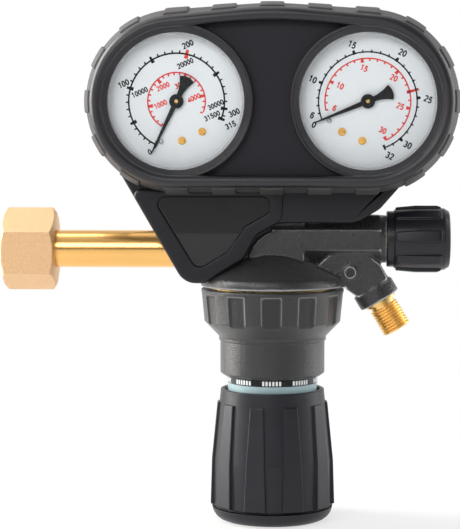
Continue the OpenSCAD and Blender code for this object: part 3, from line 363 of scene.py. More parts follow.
def loft(bm, rings, matrix=Matrix.Identity(4), capped=True, looped=False):
    """Skins closed rings of equal point counts; ends are capped, or joined when looped."""
    rows = [[bm.verts.new(matrix @ Vector(p)) for p in ring] for ring in rings]
    pairs = list(zip(rows, rows[1:])) + ([(rows[-1], rows[0])] if looped else [])
    count = len(rows[0])
    for a, b in pairs:
        for i in range(count):
            j = (i + 1) % count
            bm.faces.new((a[i], a[j], b[j], b[i]))
    if capped and not looped:
        bm.faces.new(rows[0][::-1])
        bm.faces.new(rows[-1])


def soften(corners, closed=False, steps=4):
    """Polyline through (a, b, radius) corners with each corner rounded."""
    points = []
    count = len(corners)
    for i, (x, y, radius) in enumerate(corners):
        if radius == 0 or (not closed and i in (0, count - 1)):
            points.append((x, y))
            continue
        points += corner_arc(corners[i - 1][:2], (x, y), corners[(i + 1) % count][:2], radius, steps)
    return points


# A corner this close to straight isn't rounded
STRAIGHT = 1e-4


def corner_arc(a, b, c, radius, steps):
    """Points on the fillet at corner b, between a and c."""
    ax, ay = a[0] - b[0], a[1] - b[1]
    cx, cy = c[0] - b[0], c[1] - b[1]
    la, lc = hypot(ax, ay), hypot(cx, cy)
    ux, uy, wx, wy = ax / la, ay / la, cx / lc, cy / lc
    half = acos(max(-1, min(1, ux * wx + uy * wy))) / 2
    if half > pi / 2 - STRAIGHT:
        return [b] * (steps + 1)
    mid = hypot(ux + wx, uy + wy)
    ox, oy = b[0] + (ux + wx) / mid * radius / sin(half), b[1] + (uy + wy) / mid * radius / sin(half)
    sx, sy = b[0] + ux * radius / tan(half) - ox, b[1] + uy * radius / tan(half) - oy
    sweep = (pi - 2 * half) * (1 if wx * uy - wy * ux > 0 else -1)
    start = atan2(sy, sx)
    return [(ox + radius * cos(start + sweep * i / steps), oy + radius * sin(start + sweep * i / steps))
            for i in range(steps + 1)]


def rounded(corners, steps=8):
    """Closed outline through (x, z, radius) corners."""
    return soften(corners, closed=True, steps=steps)


def inset(corners, d):
    """The same corners with every edge moved inwards by d; counter-clockwise outline."""
    moved = []
    count = len(corners)
    for i, (bx, by, radius) in enumerate(corners):
        ax, ay, _ = corners[i - 1]
        cx, cy, _ = corners[(i + 1) % count]
        e = Vector((bx - ax, by - ay)).normalized()
        f = Vector((cx - bx, cy - by)).normalized()
        p, q = Vector((-e.y, e.x)), Vector((-f.y, f.x))
        shift = (p + q) * (d / (1 + p.dot(q)))
        outward = e.x * f.y - e.y * f.x > 0
        moved.append((bx + shift.x, by + shift.y, max(radius - d, 0.4) if outward else radius + d))
    return moved


def revolve(bm, profile, matrix=Matrix.Identity(4), segments=96):
    """Turns a closed (radius, height) profile round local Z."""
    columns = []
    for k in range(segments):
        a = 2 * pi * k / segments
        points = [(max(r, AT_AXIS) * cos(a), max(r, AT_AXIS) * sin(a), h) for r, h in profile]
        columns.append([bm.verts.new(matrix @ Vector(p)) for p in points])
    count = len(profile)
    for k in range(segments):
        a, b = columns[k], columns[(k + 1) % segments]
        for i in range(count):
            j = (i + 1) % count
            if max(profile[i][0], profile[j][0]) > AT_AXIS:
                bm.faces.new((a[i], b[i], b[j], a[j]))


def revolved(name, corners, matrix, material, body, segments=96, **keys):
    bm = bmesh.new()
    revolve(bm, rounded(corners, 4), matrix, segments)
    add_piece(name, bm, material, body, **keys)


def at_y(outline, y):
    """An (x, z) outline, with x from the knob's axis, as points at depth y."""
    return [(AXIS_X + x, y, z) for x, z in outline]


def sheet(bm, loops):
    """Flat face bounded by the first loop of points and pierced by the others."""
    verts = [bm.verts.new(p) for loop in loops for p in loop]
    for corners in tessellate_polygon([[Vector(p) for p in loop] for loop in loops]):
        bm.faces.new([verts[i] for i in corners])


def prism(name, walls, material, **keys):
    """Slab with an outer wall and walls of holes; a wall is a list of (outline, y) from back to front."""
    bm = bmesh.new()
    for steps in walls:
        loft(bm, [at_y(*step) for step in steps], capped=False)
    for end in (0, -1):
        sheet(bm, [at_y(*steps[end]) for steps in walls])
    add_piece(name, bm, material, ROOT, **keys)


def circle(x, z, radius, count=72):
    turns = [2 * pi * i / count for i in range(count)]
    return [(x + radius * cos(a), z + radius * sin(a)) for a in turns]


# Cover

COVER_R = 40
CASE_ARCH = radians(4)
RIM_ARCH = radians(5.5)
ARCH_R = 150
SPLIT_Y = -4
SHOULDER_Y = -17
CREST_R, CREST_Y = 36.3, -34.7
PANEL_R, PANEL_Y, PANEL_T = 33, -29, 2
SKIRT_Y = -17
FRAME_Y = -18.5
COVER_BACK_Y = 15
WINDOW_R = 29.4


def housing(r, arch=CASE_ARCH, steps=20):
    """Outline that wraps both gauges at radius r, its top edge arched."""
    w, low = GAUGE_DX + r, GAUGE_Z - r
    side_z = GAUGE_Z + r * (1 - sin(arch)) / cos(arch)
    mid_z = GAUGE_Z + (r + GAUGE_DX * sin(arch)) / cos(arch)
    return rounded([(-w, low, r), (w, low, r), (w, side_z, r), (0, mid_z, ARCH_R), (-w, side_z, r)], steps)


def cover_loft(name, profile, material, **keys):
    """Closed ring round the housing; its section is a profile of (radius, arch in degrees, y)."""
    bm = bmesh.new()
    loft(bm, [at_y(housing(r, radians(arch)), y) for r, arch, y in profile], looped=True)
    add_piece(name, bm, material, ROOT, slot="cover_rubber", **keys)


cover_loft("cover_rim", [
    (36.9, 5.4, -32.8), (36.7, 5.45, -33.9), (36.2, 5.5, -34.8), (35.3, 5.4, -35.6), (34.2, 5.2, -36.0),
    (33.2, 4.8, -35.8), (32.4, 4.4, -35.2), (31.9, 4.1, -34.2), (31.7, 4.0, -32.8), (31.7, 4.0, -28.4),
    (35.0, 4.6, -28.4), (36.0, 5.2, -32.0),
], COVER, replaces=("cover_front",))
cover_loft("cover_band", [
    (40.0, 4, SPLIT_Y), (40.0, 4, -12), (40.0, 4, -16.4), (39.75, 4.1, -17.8), (38.0, 4.8, -26.6),
    (37.1, 5.3, -31.6), (36.8, 5.4, -32.6), (35.6, 5.2, -32.6), (36.8, 4.4, -12), (37.4, 4, SPLIT_Y),
], TREAD_LIT)


def band_r(y):
    """Radius and arch of the tread band at depth y."""
    share = max(0.0, (SHOULDER_Y - y) / (SHOULDER_Y - CREST_Y))
    return COVER_R - share * (COVER_R - CREST_R), CASE_ARCH + share * (RIM_ARCH - CASE_ARCH)


def lobe_point(side, angle):
    """Point maker for the round end on one side."""
    return lambda r, arch: (side * GAUGE_DX + r * cos(angle), GAUGE_Z + r * sin(angle))


def edge_point(x, top):
    """Point maker for the long edges above and below the middle."""

    def place(r, arch):
        reach = abs(x) - GAUGE_DX
        if not top:
            return x, GAUGE_Z - (r if reach <= 0 else sqrt(r * r - reach * reach))
        if reach > r * sin(arch):
            return x, GAUGE_Z + sqrt(r * r - reach * reach)
        if abs(x) < ARCH_R * sin(arch):
            mid_z = GAUGE_Z + (r + GAUGE_DX * sin(arch)) / cos(arch)
            return x, mid_z - ARCH_R / cos(arch) + sqrt(ARCH_R ** 2 - x * x)
        return x, GAUGE_Z + (r - reach * sin(arch)) / cos(arch)

    return place


LUG_OUT, LUG_ROOT = 1.0, 1.2
LUG_FRONT, LUG_BACK = -31.4, -7.0
LUG_PITCH, LUG_ANGLE, LUG_W = 29.2, 14.6, 10.6
# How the lug's skin rises from below the band at its border: distance in, height
LUG_EDGE = ((0.0, -0.6), (0.05, 0.35), (0.25, 0.8), (0.7, 1.0))


def across(start, end, count):
    """Samples (place, height) from start to end with the lug's rounded borders."""
    span = end - start
    near = [(start + d, h) for d, h in LUG_EDGE]
    far = [(end - d, h) for d, h in reversed(LUG_EDGE)]
    inner = [(start + span * (k + 1) / (count + 1), 1.0) for k in range(count)]
    return near + inner + far


def add_lug(bm, place_at, start, end):
    """One raised block that follows the band; place_at turns a length along it into a point maker."""
    rows = []
    for s, hs in across(start, end, 5):
        point = place_at(s)
        top = []
        for y, hy in across(LUG_FRONT, LUG_BACK, 3):
            r, arch = band_r(y)
            x, z = point(r + min(hs, hy) * LUG_OUT, arch)
            top.append((AXIS_X + x, y, z))
        base = []
        for y in (LUG_BACK, LUG_FRONT):
            r, arch = band_r(y)
            x, z = point(r - LUG_ROOT, arch)
            base.append((AXIS_X + x, y, z))
        rows.append(top + base)
    loft(bm, rows)


bm = bmesh.new()
for side in (LEFT, RIGHT):
    for k in range(-2, 3):
        mid = (0 if side == RIGHT else pi) + radians(k * LUG_PITCH)
        half = radians(LUG_ANGLE / 2) * COVER_R
        add_lug(bm, lambda s, side=side, mid=mid: lobe_point(side, mid + s / COVER_R), -half, half)
for k in range(-2, 3):
    for top in (True, False):
        mid = k * GAUGE_DX / 2
        add_lug(bm, lambda s, mid=mid, top=top: edge_point(mid + s, top), -LUG_W / 2, LUG_W / 2)
add_piece("cover_lugs", bm, TREAD_LIT, ROOT, slot="cover_rubber")

# Panel between the gauges, with the two windows
window_holes = [circle(side * GAUGE_DX, GAUGE_Z, WINDOW_R + 1.5) for side in (LEFT, RIGHT)]
panel_edges = [housing(PANEL_R, steps=16)] + window_holes
prism("cover_panel", [[(edge, PANEL_Y + PANEL_T), (edge, PANEL_Y)] for edge in panel_edges], PANEL,
      slot="cover_rubber")

for side, gauge, _ in GAUGES:
    revolved(gauge + "_bezel", [
        (WINDOW_R + 0.2, 27.7, 0), (WINDOW_R + 0.2, 28.7, 0.4), (32.0, 32.6, 0.5), (32.5, 33.1, 0.4),
        (33.5, 33.1, 0.5), (33.7, 28.5, 0), (31.5, 27.0, 0),
    ], window_frame(side), COVER, ROOT, segments=128, slot="cover_rubber")
    # Ring at the window's border: painted shade of the glass rim
    revolved(gauge + "_lens_edge_shade", [
        (WINDOW_R - 0.9, 27.62, 0), (WINDOW_R + 0.15, 28.3, 0.15), (WINDOW_R + 0.15, 27.62, 0),
    ], window_frame(side), LENS_EDGE_SHADE, ROOT, segments=128, slot="lens_clear")

# Corners of the skirt under the gauges, the raised frame on it and the nameplate, each (x, z, rounding)
SKIRT = [(-38.6, -14.1, 9), (-29.5, -14.1, 6), (-12.4, -3.6, 5), (-7, 7, 7), (3, 12.2, 8),
         (37, 12.6, 14), (47, 18.5, 10), (66, 40, 1), (66, 46, 1), (-75.8, 50, 1)]
FRAME = [(-38.6, -14.1, 9), (-29.5, -14.1, 6), (-12.4, -3.6, 5), (-7, 7, 7), (4.5, 13.5, 6), (5, 27.5, 3),
         (-62.7, 27.5, 3)]
PLATE = [(-32.8, -8.2, 4), (-19.4, 0, 4), (-11.6, 11.2, 3), (-1.2, 17.2, 3), (-1.2, 24.2, 3.5),
         (-52.6, 24.2, 3.5)]
SKIRT_TOP_R = 34


def skirt_walls(drop):
    """Outline of the skirt, its border moved in by drop; its top edge follows both gauges, under the rim."""
    top = []
    for side, start, end in ((RIGHT, -36, -91), (LEFT, -90, -157)):
        for a in (radians(d) for d in range(start, end, -9)):
            top.append((side * GAUGE_DX + SKIRT_TOP_R * cos(a), GAUGE_Z + SKIRT_TOP_R * sin(a), 0))
    border = inset(SKIRT, drop)
    return rounded(border[:-1] + top + border[-1:])


bm = bmesh.new()
loft(bm, [at_y(skirt_walls(d), y) for d, y in (
    (0, SPLIT_Y), (0, SKIRT_Y + 1.5), (0.2, SKIRT_Y + 0.8), (0.7, SKIRT_Y + 0.25), (1.5, SKIRT_Y))])
add_piece("cover_skirt", bm, SKIRT_BLACK, ROOT, slot="cover_rubber")

prism("plate_frame", [
    [(rounded(inset(FRAME, d)), y) for d, y in (
        (0.02, SKIRT_Y + 2), (0.05, FRAME_Y + 1.4), (0.35, FRAME_Y + 0.6), (0.9, FRAME_Y + 0.15),
        (1.7, FRAME_Y))],
    [(rounded(inset(PLATE, d)), y) for d, y in (
        (0, SKIRT_Y + 2), (0, FRAME_Y + 1.3), (-0.05, FRAME_Y + 0.6), (-0.4, FRAME_Y + 0.15),
        (-1.0, FRAME_Y))],
], SKIRT_BLACK, slot="cover_rubber")

STICKER_Z = 8.0


def above(outline, z):
    """The part of an outline over height z."""
    kept = []
    for i, b in enumerate(outline):
        a = outline[i - 1]
        if (a[1] < z) != (b[1] < z):
            share = (z - a[1]) / (b[1] - a[1])
            kept.append((a[0] + share * (b[0] - a[0]), z))
        if b[1] >= z:
            kept.append(b)
    return kept


# Bare nameplate: a matte field, with a glossy sticker on its upper part
PLATE_Y = FRAME_Y + 1.2
for name, outline, front, material in (
    ("nameplate_field", rounded(inset(PLATE, 0.1)), PLATE_Y - 0.35, PLATE_MATTE),
    ("nameplate_gloss", above(rounded(inset(PLATE, 0.5)), STICKER_Z), PLATE_Y - 0.6, PLATE_GLOSS),
):
    bm = bmesh.new()
    loft(bm, [at_y(outline, PLATE_Y + 0.1), at_y(outline, front + 0.1), at_y(outline, front)])
    add_piece(name, bm, material, ROOT, replaces=("nameplate",), slot="plate_black")

# Rear shell
REAR_PROFILE = [(39.6, SPLIT_Y), (39.6, 6.5), (39.2, 9.2), (38.0, 11.6), (36.0, 13.6), (33.6, 14.7),
                (31.5, COVER_BACK_Y)]
bm = bmesh.new()
loft(bm, [at_y(housing(r), y) for r, y in REAR_PROFILE])
loft(bm, [at_y(skirt_walls(d), y) for d, y in (
    (0.4, SPLIT_Y), (0.4, 10.5), (0.7, 12.0), (1.5, 12.8), (2.6, 13.0))])
add_piece("cover_rear", bm, COVER, ROOT, replaces=("cover_back",), slot="cover_back_plastic")

# Gauges

DIAL_Y = -21.8
PRINT_T = 0.06


def clockwise(angle, radius):
    """Point at that angle in degrees clockwise from straight down, seen from the front."""
    a = -pi / 2 - radians(angle)
    return radius * cos(a), radius * sin(a)


def print_path(bm, points, width, closed=False):
    """A printed line of even width that stands on the dial."""
    count = len(points)
    rings = []
    for i, point in enumerate(points):
        before = points[i - 1] if i or closed else point
        after = points[(i + 1) % count] if i < count - 1 or closed else point
        a, b = (Vector(point) - Vector(before)), (Vector(after) - Vector(point))
        a, b = (a or b).normalized(), (b or a).normalized()
        normal = Vector((-a.y - b.y, a.x + b.x)).normalized()
        side = normal * min(width / 2 / max(normal.dot((-a.y, a.x)), 0.1), width * 0.8)
        x, y = point
        rings.append([(x - side.x, y - side.y, 0), (x + side.x, y + side.y, 0),
                      (x + side.x, y + side.y, PRINT_T), (x - side.x, y - side.y, PRINT_T)])
    loft(bm, rings, looped=closed)


def print_arc(bm, start, end, radius, width, step=2.0):
    count = max(2, int((end - start) / step))
    print_path(bm, [clockwise(start + (end - start) * i / count, radius) for i in range(count + 1)], width)


def print_tick(bm, angle, inner, outer, width):
    """A short line across the scale, from one radius to another."""
    print_path(bm, [clockwise(angle, inner), clockwise(angle, outer)], width)


def bow(x, y, rx, ry, start, end, steps=12):
    """Points on part of an ellipse, angles in degrees."""
    angles = [radians(start + (end - start) * i / steps) for i in range(steps + 1)]
    return [(x + rx * cos(a), y + ry * sin(a)) for a in angles]


# Centre lines of the figures in a box one high; the flag says that the line closes on itself
FIGURES = {
    "0": [(bow(0.25, 0.5, 0.23, 0.46, 0, 345, 23), True)],
    "1": [([(0.08, 0.74), (0.30, 0.96), (0.30, 0.0)], False)],
    "2": [(bow(0.25, 0.71, 0.21, 0.25, 165, -40) + [(0.03, 0.04), (0.48, 0.04)], False)],
    "3": [(bow(0.23, 0.73, 0.20, 0.23, 150, -80) + bow(0.23, 0.27, 0.23, 0.24, 80, -155), False)],
    "4": [([(0.38, 0.0), (0.38, 0.94), (0.03, 0.28), (0.52, 0.28)], False)],
    "5": [([(0.45, 0.95), (0.11, 0.95), (0.06, 0.5)] + bow(0.24, 0.32, 0.23, 0.29, 130, -150), False)],
    "6": [([(0.45, 0.80)] + bow(0.27, 0.56, 0.22, 0.40, 70, 180), False),
          (bow(0.27, 0.31, 0.21, 0.27, 0, 345, 23), True)],
}
FIGURE_STEP = 0.7


def print_number(bm, words, x, y, height, angle, stroke=0.23):
    """A number in plain upright figures, its middle at x and y; the stroke is a share of its height."""
    place = move(x, y, 0) @ turn(angle, "Z") @ Matrix.Scale(height, 4)
    left = -(FIGURE_STEP * (len(words) - 1) + 0.5) / 2
    for k, figure in enumerate(words):
        for line, closed in FIGURES[figure]:
            points = [(place @ Vector((left + k * FIGURE_STEP + px, py - 0.5, 0))).to_2d() for px, py in line]
            print_path(bm, points, stroke * height, closed)


def between(table, value):
    """Angle for a value on a scale given as (value, angle) pairs."""
    for (a, low), (b, high) in zip(table, table[1:]):
        if a <= value <= b:
            return low + (high - low) * (value - a) / (b - a)
    raise ValueError(value)


def add_print(name, bm, side, material):
    add_piece(name, bm, material, ROOT, place=window_frame(side) @ move(0, 0, -DIAL_Y), slot="dial_white",
              weighted=False)


THIN, BOLD = 0.5, 1.0
TILT = -LEFT * GAUGE_LEAN

# High-pressure dial: values and their angles from zero, outer scale in black, inner one in red
BAR = [(0, 0), (50, 38), (100, 79.9), (200, 166.6), (300, 252.8), (315, 265.5)]
BAR_R, BAR_LIMIT = 20.8, 200
black, red = bmesh.new(), bmesh.new()
print_arc(black, LEFT_ZERO, LEFT_ZERO + BAR[-1][1], BAR_R, 0.72)
for value in range(0, 311, 10):
    if value % 50:
        print_tick(black, LEFT_ZERO + between(BAR, value), BAR_R, 22.1, THIN)
for value in (0, 50, 100, 150, 250, 300, 315):
    print_tick(black, LEFT_ZERO + between(BAR, value), 19.4, 22.4, BOLD)
print_tick(red, LEFT_ZERO + between(BAR, BAR_LIMIT), 18.9, 22.8, 1.15)
for words, x, y, height in (
    ("0", -11.7, -21.9, 2.3), ("100", -23.0, 7.6, 2.4), ("200", 4.9, 24.6, 2.4), ("300", 25.0, -4.9, 2.4),
    ("315", 23.4, -10.3, 2.3), ("10000", -16.0, 3.9, 2.15), ("20000", 3.8, 16.4, 2.15),
    ("30000", 17.0, -1.5, 2.1), ("31500", 15.4, -6.3, 2.1),
):
    print_number(black, words, x, y, height, TILT)
PSI_R, PSI_START, PSI_END = 12.5, 30.8, 292.1
PSI_AT_1000, PSI_STEP = 79.5, 0.0596
print_arc(red, PSI_START, PSI_END, PSI_R, 0.62)
for value in range(200, 4601, 200):
    inner, width = (11.3, THIN) if value % 1000 else (10.4, BOLD)
    print_tick(red, PSI_AT_1000 + (value - 1000) * PSI_STEP, inner, PSI_R, width)
for words, x, y in (("1000", -7.0, -1.3), ("2000", -5.9, 6.4), ("3000", 2.0, 7.4), ("4000", 7.5, 1.5)):
    print_number(red, words, x, y, 2.15, TILT)
add_print("pressure_print_black", black, LEFT, PRINT_BLACK)
add_print("pressure_print_red", red, LEFT, PRINT_RED)

# Flow dial, in the same way
FLOW = [(0, 0), (6, 8), (10, 43.6), (15, 95.7), (20, 146.8), (25, 198), (30, 250.7), (32, 271.8)]
FLOW_IN = [(6, 10), (10, 49.8), (15, 103.7), (20, 157), (25, 211.5), (30, 266.5)]
FLOW_R, FLOW_IN_R, FLOW_LIMIT = 21.3, 18.5, 188.7
black, red = bmesh.new(), bmesh.new()
flow_end = RIGHT_ZERO + FLOW[-1][1]
print_arc(black, RIGHT_ZERO, flow_end, FLOW_R, 0.62)
for value in range(6, 33):
    outer, width = (22.3, THIN) if value % 5 else (22.8, BOLD)
    print_tick(black, RIGHT_ZERO + between(FLOW, value), 20.9, outer, width)
print_tick(black, RIGHT_ZERO, 20.0, 22.4, THIN)
print_tick(black, flow_end, 20.0, 22.4, 0.7)
for words, x, y in (
    ("0", -23.2, -10.1), ("6", -24.0, -6.0), ("10", -23.8, 9.5), ("15", -6.9, 24.4), ("20", 14.9, 20.9),
    ("25", 26.0, 0.9), ("30", 17.3, -18.8), ("32", 9.6, -23.5),
):
    print_number(black, words, x, y, 2.6, -TILT)
print_arc(red, RIGHT_ZERO + FLOW_IN[0][1], RIGHT_ZERO + FLOW_IN[-1][1], FLOW_IN_R, 0.6)
for value in range(6, 31):
    inner, width = (17.4, THIN) if value % 5 else (16.8, BOLD)
    print_tick(red, RIGHT_ZERO + between(FLOW_IN, value), inner, FLOW_IN_R, width)
print_tick(red, RIGHT_ZERO + FLOW_LIMIT, 17.2, 22.6, 0.85)
for words, x, y in (
    ("6", -14.4, -2.9), ("10", -12.0, 6.7), ("15", -1.7, 14.3), ("20", 11.2, 10.1), ("25", 14.0, -2.1),
    ("30", 6.5, -12.5),
):
    print_number(red, words, x, y, 2.4, -TILT)
add_print("flow_print_black", black, RIGHT, PRINT_BLACK)
add_print("flow_print_red", red, RIGHT, PRINT_RED)

# Dial screws with slotted heads, and the pin that the pointer rests against
SCREW_DX, SCREW_DZ, SCREW_R, SCREW_SHANK_R = 4.8, -16.5, 1.7, 1.0
STOP_AT, STOP_OFFSET, STOP_R = 18.6, 5, 0.75
SLOT_LONG, SLOT_HALF, SLOT_TURN = 1.25, 0.26, radians(35)
ROUND = 48
around = [2 * pi * i / ROUND for i in range(ROUND)]
slot_edge = [min(SLOT_LONG / max(abs(cos(a)), 1e-6), SLOT_HALF / max(abs(sin(a)), 1e-6)) for a in around]


def stacked(bm, steps, matrix):
    """Solid around local Z; a step is a radius, or one radius for each of its points, and a height."""
    rings = []
    for radii, h in steps:
        each = radii if isinstance(radii, list) else [radii] * ROUND
        rings.append([(r * cos(a), r * sin(a), h) for r, a in zip(each, around)])
    loft(bm, rings, matrix)


for side, gauge, zero in GAUGES:
    bm = bmesh.new()
    for dx in (-SCREW_DX, SCREW_DX):
        at = turn(-side * GAUGE_LEAN, "Z") @ move(dx, SCREW_DZ, -DIAL_Y) @ turn(SLOT_TURN, "Z")
        stacked(bm, [
            (SCREW_SHANK_R, -7.5), (SCREW_SHANK_R, 0.02), (SCREW_R, 0.02), (SCREW_R, 0.5),
            (SCREW_R - 0.25, 0.75), (slot_edge, 0.8), (slot_edge, 0.35),
        ], window_frame(side) @ at)
    add_piece(gauge + "_slotted_screws", bm, DIAL_BRASS, ROOT, replaces=(gauge + "_dial_screws",),
              slot="movement_brass")
    x, y = clockwise(zero - STOP_OFFSET, STOP_AT)
    revolved(gauge + "_stop_pin", [
        (0, -1.4, 0), (STOP_R, -1.4, 0), (STOP_R, 0.02, 0), (STOP_R + 0.35, 0.02, 0),
        (STOP_R + 0.35, 0.4, 0.15), (STOP_R, 0.5, 0), (STOP_R, 1.6, 0.3), (0, 1.6, 0),
    ], window_frame(side) @ move(x, y, -DIAL_Y), STEEL, ROOT, segments=32, slot="movement_brass")

# Pointers: a flared tail, a hub with a raised rim, a slim tapered blade
POINTER_BACK, POINTER_FRONT, HUB_R = 22.8, 23.6, 3.1
TAIL_HALF = [(1.8, -11.3), (3.4, -10.6), (2.2, -8.0), (1.35, -5.0), (1.1, -2.5)]
BLADE_HALF = [(1.15, 0), (0.75, 12), (0.28, 24.6)]
for side, gauge, zero in GAUGES:
    bm = bmesh.new()
    right_half = [(0, -11.6)] + TAIL_HALF + BLADE_HALF + [(0, 24.9)]
    outline = right_half + [(-x, y) for x, y in right_half[-2:0:-1]]
    loft(bm, [[(x * s, y, h) for x, y in outline] for s, h in (
        (1, POINTER_BACK), (1, POINTER_FRONT - 0.2), (0.9, POINTER_FRONT))])
    revolve(bm, rounded([
        (0, POINTER_BACK - 0.3, 0), (HUB_R, POINTER_BACK - 0.3, 0.1), (HUB_R, POINTER_FRONT + 0.3, 0.25),
        (2.1, POINTER_FRONT + 0.3, 0.15), (1.9, POINTER_FRONT + 0.1, 0.1), (0, POINTER_FRONT + 0.1, 0),
    ], 4), segments=48)
    add_piece(gauge + "_needle", bm, POINTER, gauge + "_pointer", replaces=(gauge + "_pointer",),
              place=window_frame(side) @ turn(pi - radians(zero), "Z"), slot="pointer_black")
    frame["nodes"][gauge + "_pinion"].data.materials[0] = BRASS

# Castings


def node_copy(name, node):
    """Piece with the mesh of a CAD node, in its place."""
    thing = bpy.data.objects.new(name, frame["nodes"][node].data.copy())
    scene.collection.objects.link(thing)
    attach(thing, ROOT)
    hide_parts(node)
    return thing


# Body: its edges and inner corners flow into each other, as a casting has them
SKIN_VOXEL, SKIN_ROUNDS = 0.5, 5
body = node_copy("body_casting", "body")
skin = body.modifiers.new("skin", "REMESH")
skin.mode = "VOXEL"
skin.voxel_size = SKIN_VOXEL * MM
skin.use_smooth_shade = True
flow = body.modifiers.new("flow", "SMOOTH")
flow.factor = 0.5
flow.iterations = SKIN_ROUNDS

# Bonnet: ring with sunk grip pockets, cone, spring housing and neck, drawn from its top down
BONNET_LOW, BONNET_TOP = ends("bonnet", Z)
LABEL_LOW, LABEL_HIGH = ends("label_ring", Z)
HOUSING_LOW = LABEL_HIGH
GRIP_R = half_width("bonnet", Y)
GRIP_LEN, GRIP_DRAFT = 14.4, 1.4
POCKETS, POCKET_HALF, POCKET_DEPTH, POCKET_DROP = 12, 3.4, 1.1, 1.9
CONE_DROP, LIP_R, LIP_LEN = 6.8, 23.9, 1.8
HOUSING_R, NECK_R, NECK_WALL = 23.3, 19.4, 2.4
THREAD_R, THREAD_GAP, THREAD_LEN = 27.8, 0.3, 12
SPRING_ROOM_R, SCREW_HOLE_R, FLOOR_T = 21.4, 6.2, 3
# How a 45 degree pocket wall with soft corners sinks: distance from its upper edge, share of the depth
SINK = ((-0.25, 0.0), (0.05, 0.06), (0.3, 0.25), (0.85, 0.85), (1.1, 0.97), (1.4, 1.0))


def sunk(distance):
    """Share of the pocket's depth at a distance inside its upper edge."""
    for (d0, s0), (d1, s1) in zip(SINK, SINK[1:]):
        if distance <= d1:
            return max(0.0, s0 + (s1 - s0) * (distance - d0) / (d1 - d0))
    return 1.0


def grip_surface(drop, offset):
    """Radius of the grip ring and cone at a drop below the top, offset sideways from a pocket's middle."""
    line = GRIP_R - GRIP_DRAFT * drop / GRIP_LEN
    below = max(0.0, drop - GRIP_LEN)
    cone = GRIP_R - GRIP_DRAFT - below * (GRIP_R - GRIP_DRAFT - LIP_R) / CONE_DROP
    skin = cone if below else line
    depth = POCKET_DEPTH * min(sunk(drop - POCKET_DROP), sunk(POCKET_HALF + POCKET_DEPTH - abs(offset)))
    return min(skin, line - depth)


half_pitch = pi * GRIP_R / POCKETS
edge = POCKET_HALF + POCKET_DEPTH
near = [edge - d for d, _ in SINK]
offsets = sorted([0, half_pitch, 1.0, -1.0, (edge + half_pitch) / 2, -(edge + half_pitch) / 2]
                 + near + [-d for d in near])
drops = sorted([0.6, 1.2, 4.5, 7.5, 10.5, 13] + [POCKET_DROP + d for d, _ in SINK]
               + [GRIP_LEN + d for d in (-0.3, 0, 0.35, 0.8, 1.15, 1.6, 2.2)])


def bonnet_ring(z, radius_at):
    """All points of the bonnet at one height."""
    points = []
    for pocket in range(POCKETS):
        for offset in offsets:
            a = -pi / 2 + 2 * pi * pocket / POCKETS + offset / GRIP_R
            points.append((radius_at(offset) * cos(a), radius_at(offset) * sin(a), z))
    return points


bore_r = THREAD_R + THREAD_GAP
cone_end = BONNET_TOP - GRIP_LEN - CONE_DROP
lip_end = cone_end - LIP_LEN
top_edge = soften([(bore_r, BONNET_TOP, 0), (GRIP_R, BONNET_TOP, 0.6), (GRIP_R - 0.06, BONNET_TOP - 0.6, 0)])
lower = soften([
    (grip_surface(GRIP_LEN + 2.2, 99), BONNET_TOP - GRIP_LEN - 2.2, 0), (LIP_R, cone_end, 1.5),
    (LIP_R, lip_end, 0.25), (HOUSING_R, lip_end - 0.1, 0.2), (HOUSING_R, HOUSING_LOW + 1.4, 0.5),
    (HOUSING_R - 1.9, HOUSING_LOW, 0.3), (NECK_R, HOUSING_LOW, 0.1), (NECK_R, BONNET_LOW, 0.3),
    (SCREW_HOLE_R, BONNET_LOW, 0), (SCREW_HOLE_R, BONNET_LOW + FLOOR_T, 0),
    (NECK_R - NECK_WALL, BONNET_LOW + FLOOR_T, 0), (NECK_R - NECK_WALL, HOUSING_LOW + 2, 0),
    (SPRING_ROOM_R, HOUSING_LOW + 5, 0), (SPRING_ROOM_R, BONNET_TOP - THREAD_LEN, 0),
    (bore_r, BONNET_TOP - THREAD_LEN, 0), (bore_r, BONNET_TOP, 0),
])
rings = [bonnet_ring(z, lambda offset, r=r: r) for r, z in top_edge[:-1]]
for drop in drops:
    rings.append(bonnet_ring(BONNET_TOP - drop, lambda offset, drop=drop: grip_surface(drop, offset)))
rings += [bonnet_ring(z, lambda offset, r=r: r) for r, z in lower[1:-1]]
bm = bmesh.new()
loft(bm, rings, ON_AXIS, looped=True)
casting = add_piece("bonnet_casting", bm, BONNET, ROOT, replaces=("bonnet",),
                    slot="bonnet_paint", smooth=radians(50))

# The pockets' floors are darker than the rest, a painted shade, and their upper edges lighter, a painted
# highlight
casting.data.materials.append(POCKET_SHADE)
casting.data.materials.append(POCKET_HIGHLIGHT)
for face in casting.data.polygons:
    at = (face.center / MM) - Vector((AXIS_X, 0, 0))
    drop = BONNET_TOP - at.z
    depth = (GRIP_R - GRIP_DRAFT * drop / GRIP_LEN - at.xy.length) / POCKET_DEPTH
    if POCKET_DROP - 0.2 < drop < GRIP_LEN + 3 and 0.9 <= depth < 1.03:
        face.material_index = 1
    elif POCKET_DROP - 0.2 < drop < GRIP_LEN - 0.2 and 0.03 < depth < 0.5:
        face.material_index = 2

# Springs, each a copy of its CAD node with a mesh of its own
for node, joint in (("main_spring", "button_slide"), ("poppet_spring", "poppet_lift")):
    low, high = ends(node, Z)
    coil = node_copy(node + "_coil", node)
    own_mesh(coil)

# Brass thread that shows between flange and bonnet
revolved("thread_ring", [
    (THREAD_R - 0.6, BONNET_TOP + 0.1, 0), (bore_r, BONNET_TOP + 0.1, 0.15), (bore_r, BONNET_TOP + 0.5, 0.15),
    (THREAD_R - 0.6, BONNET_TOP + 0.5, 0),
], ON_AXIS, BRASS, ROOT, slot="brass")

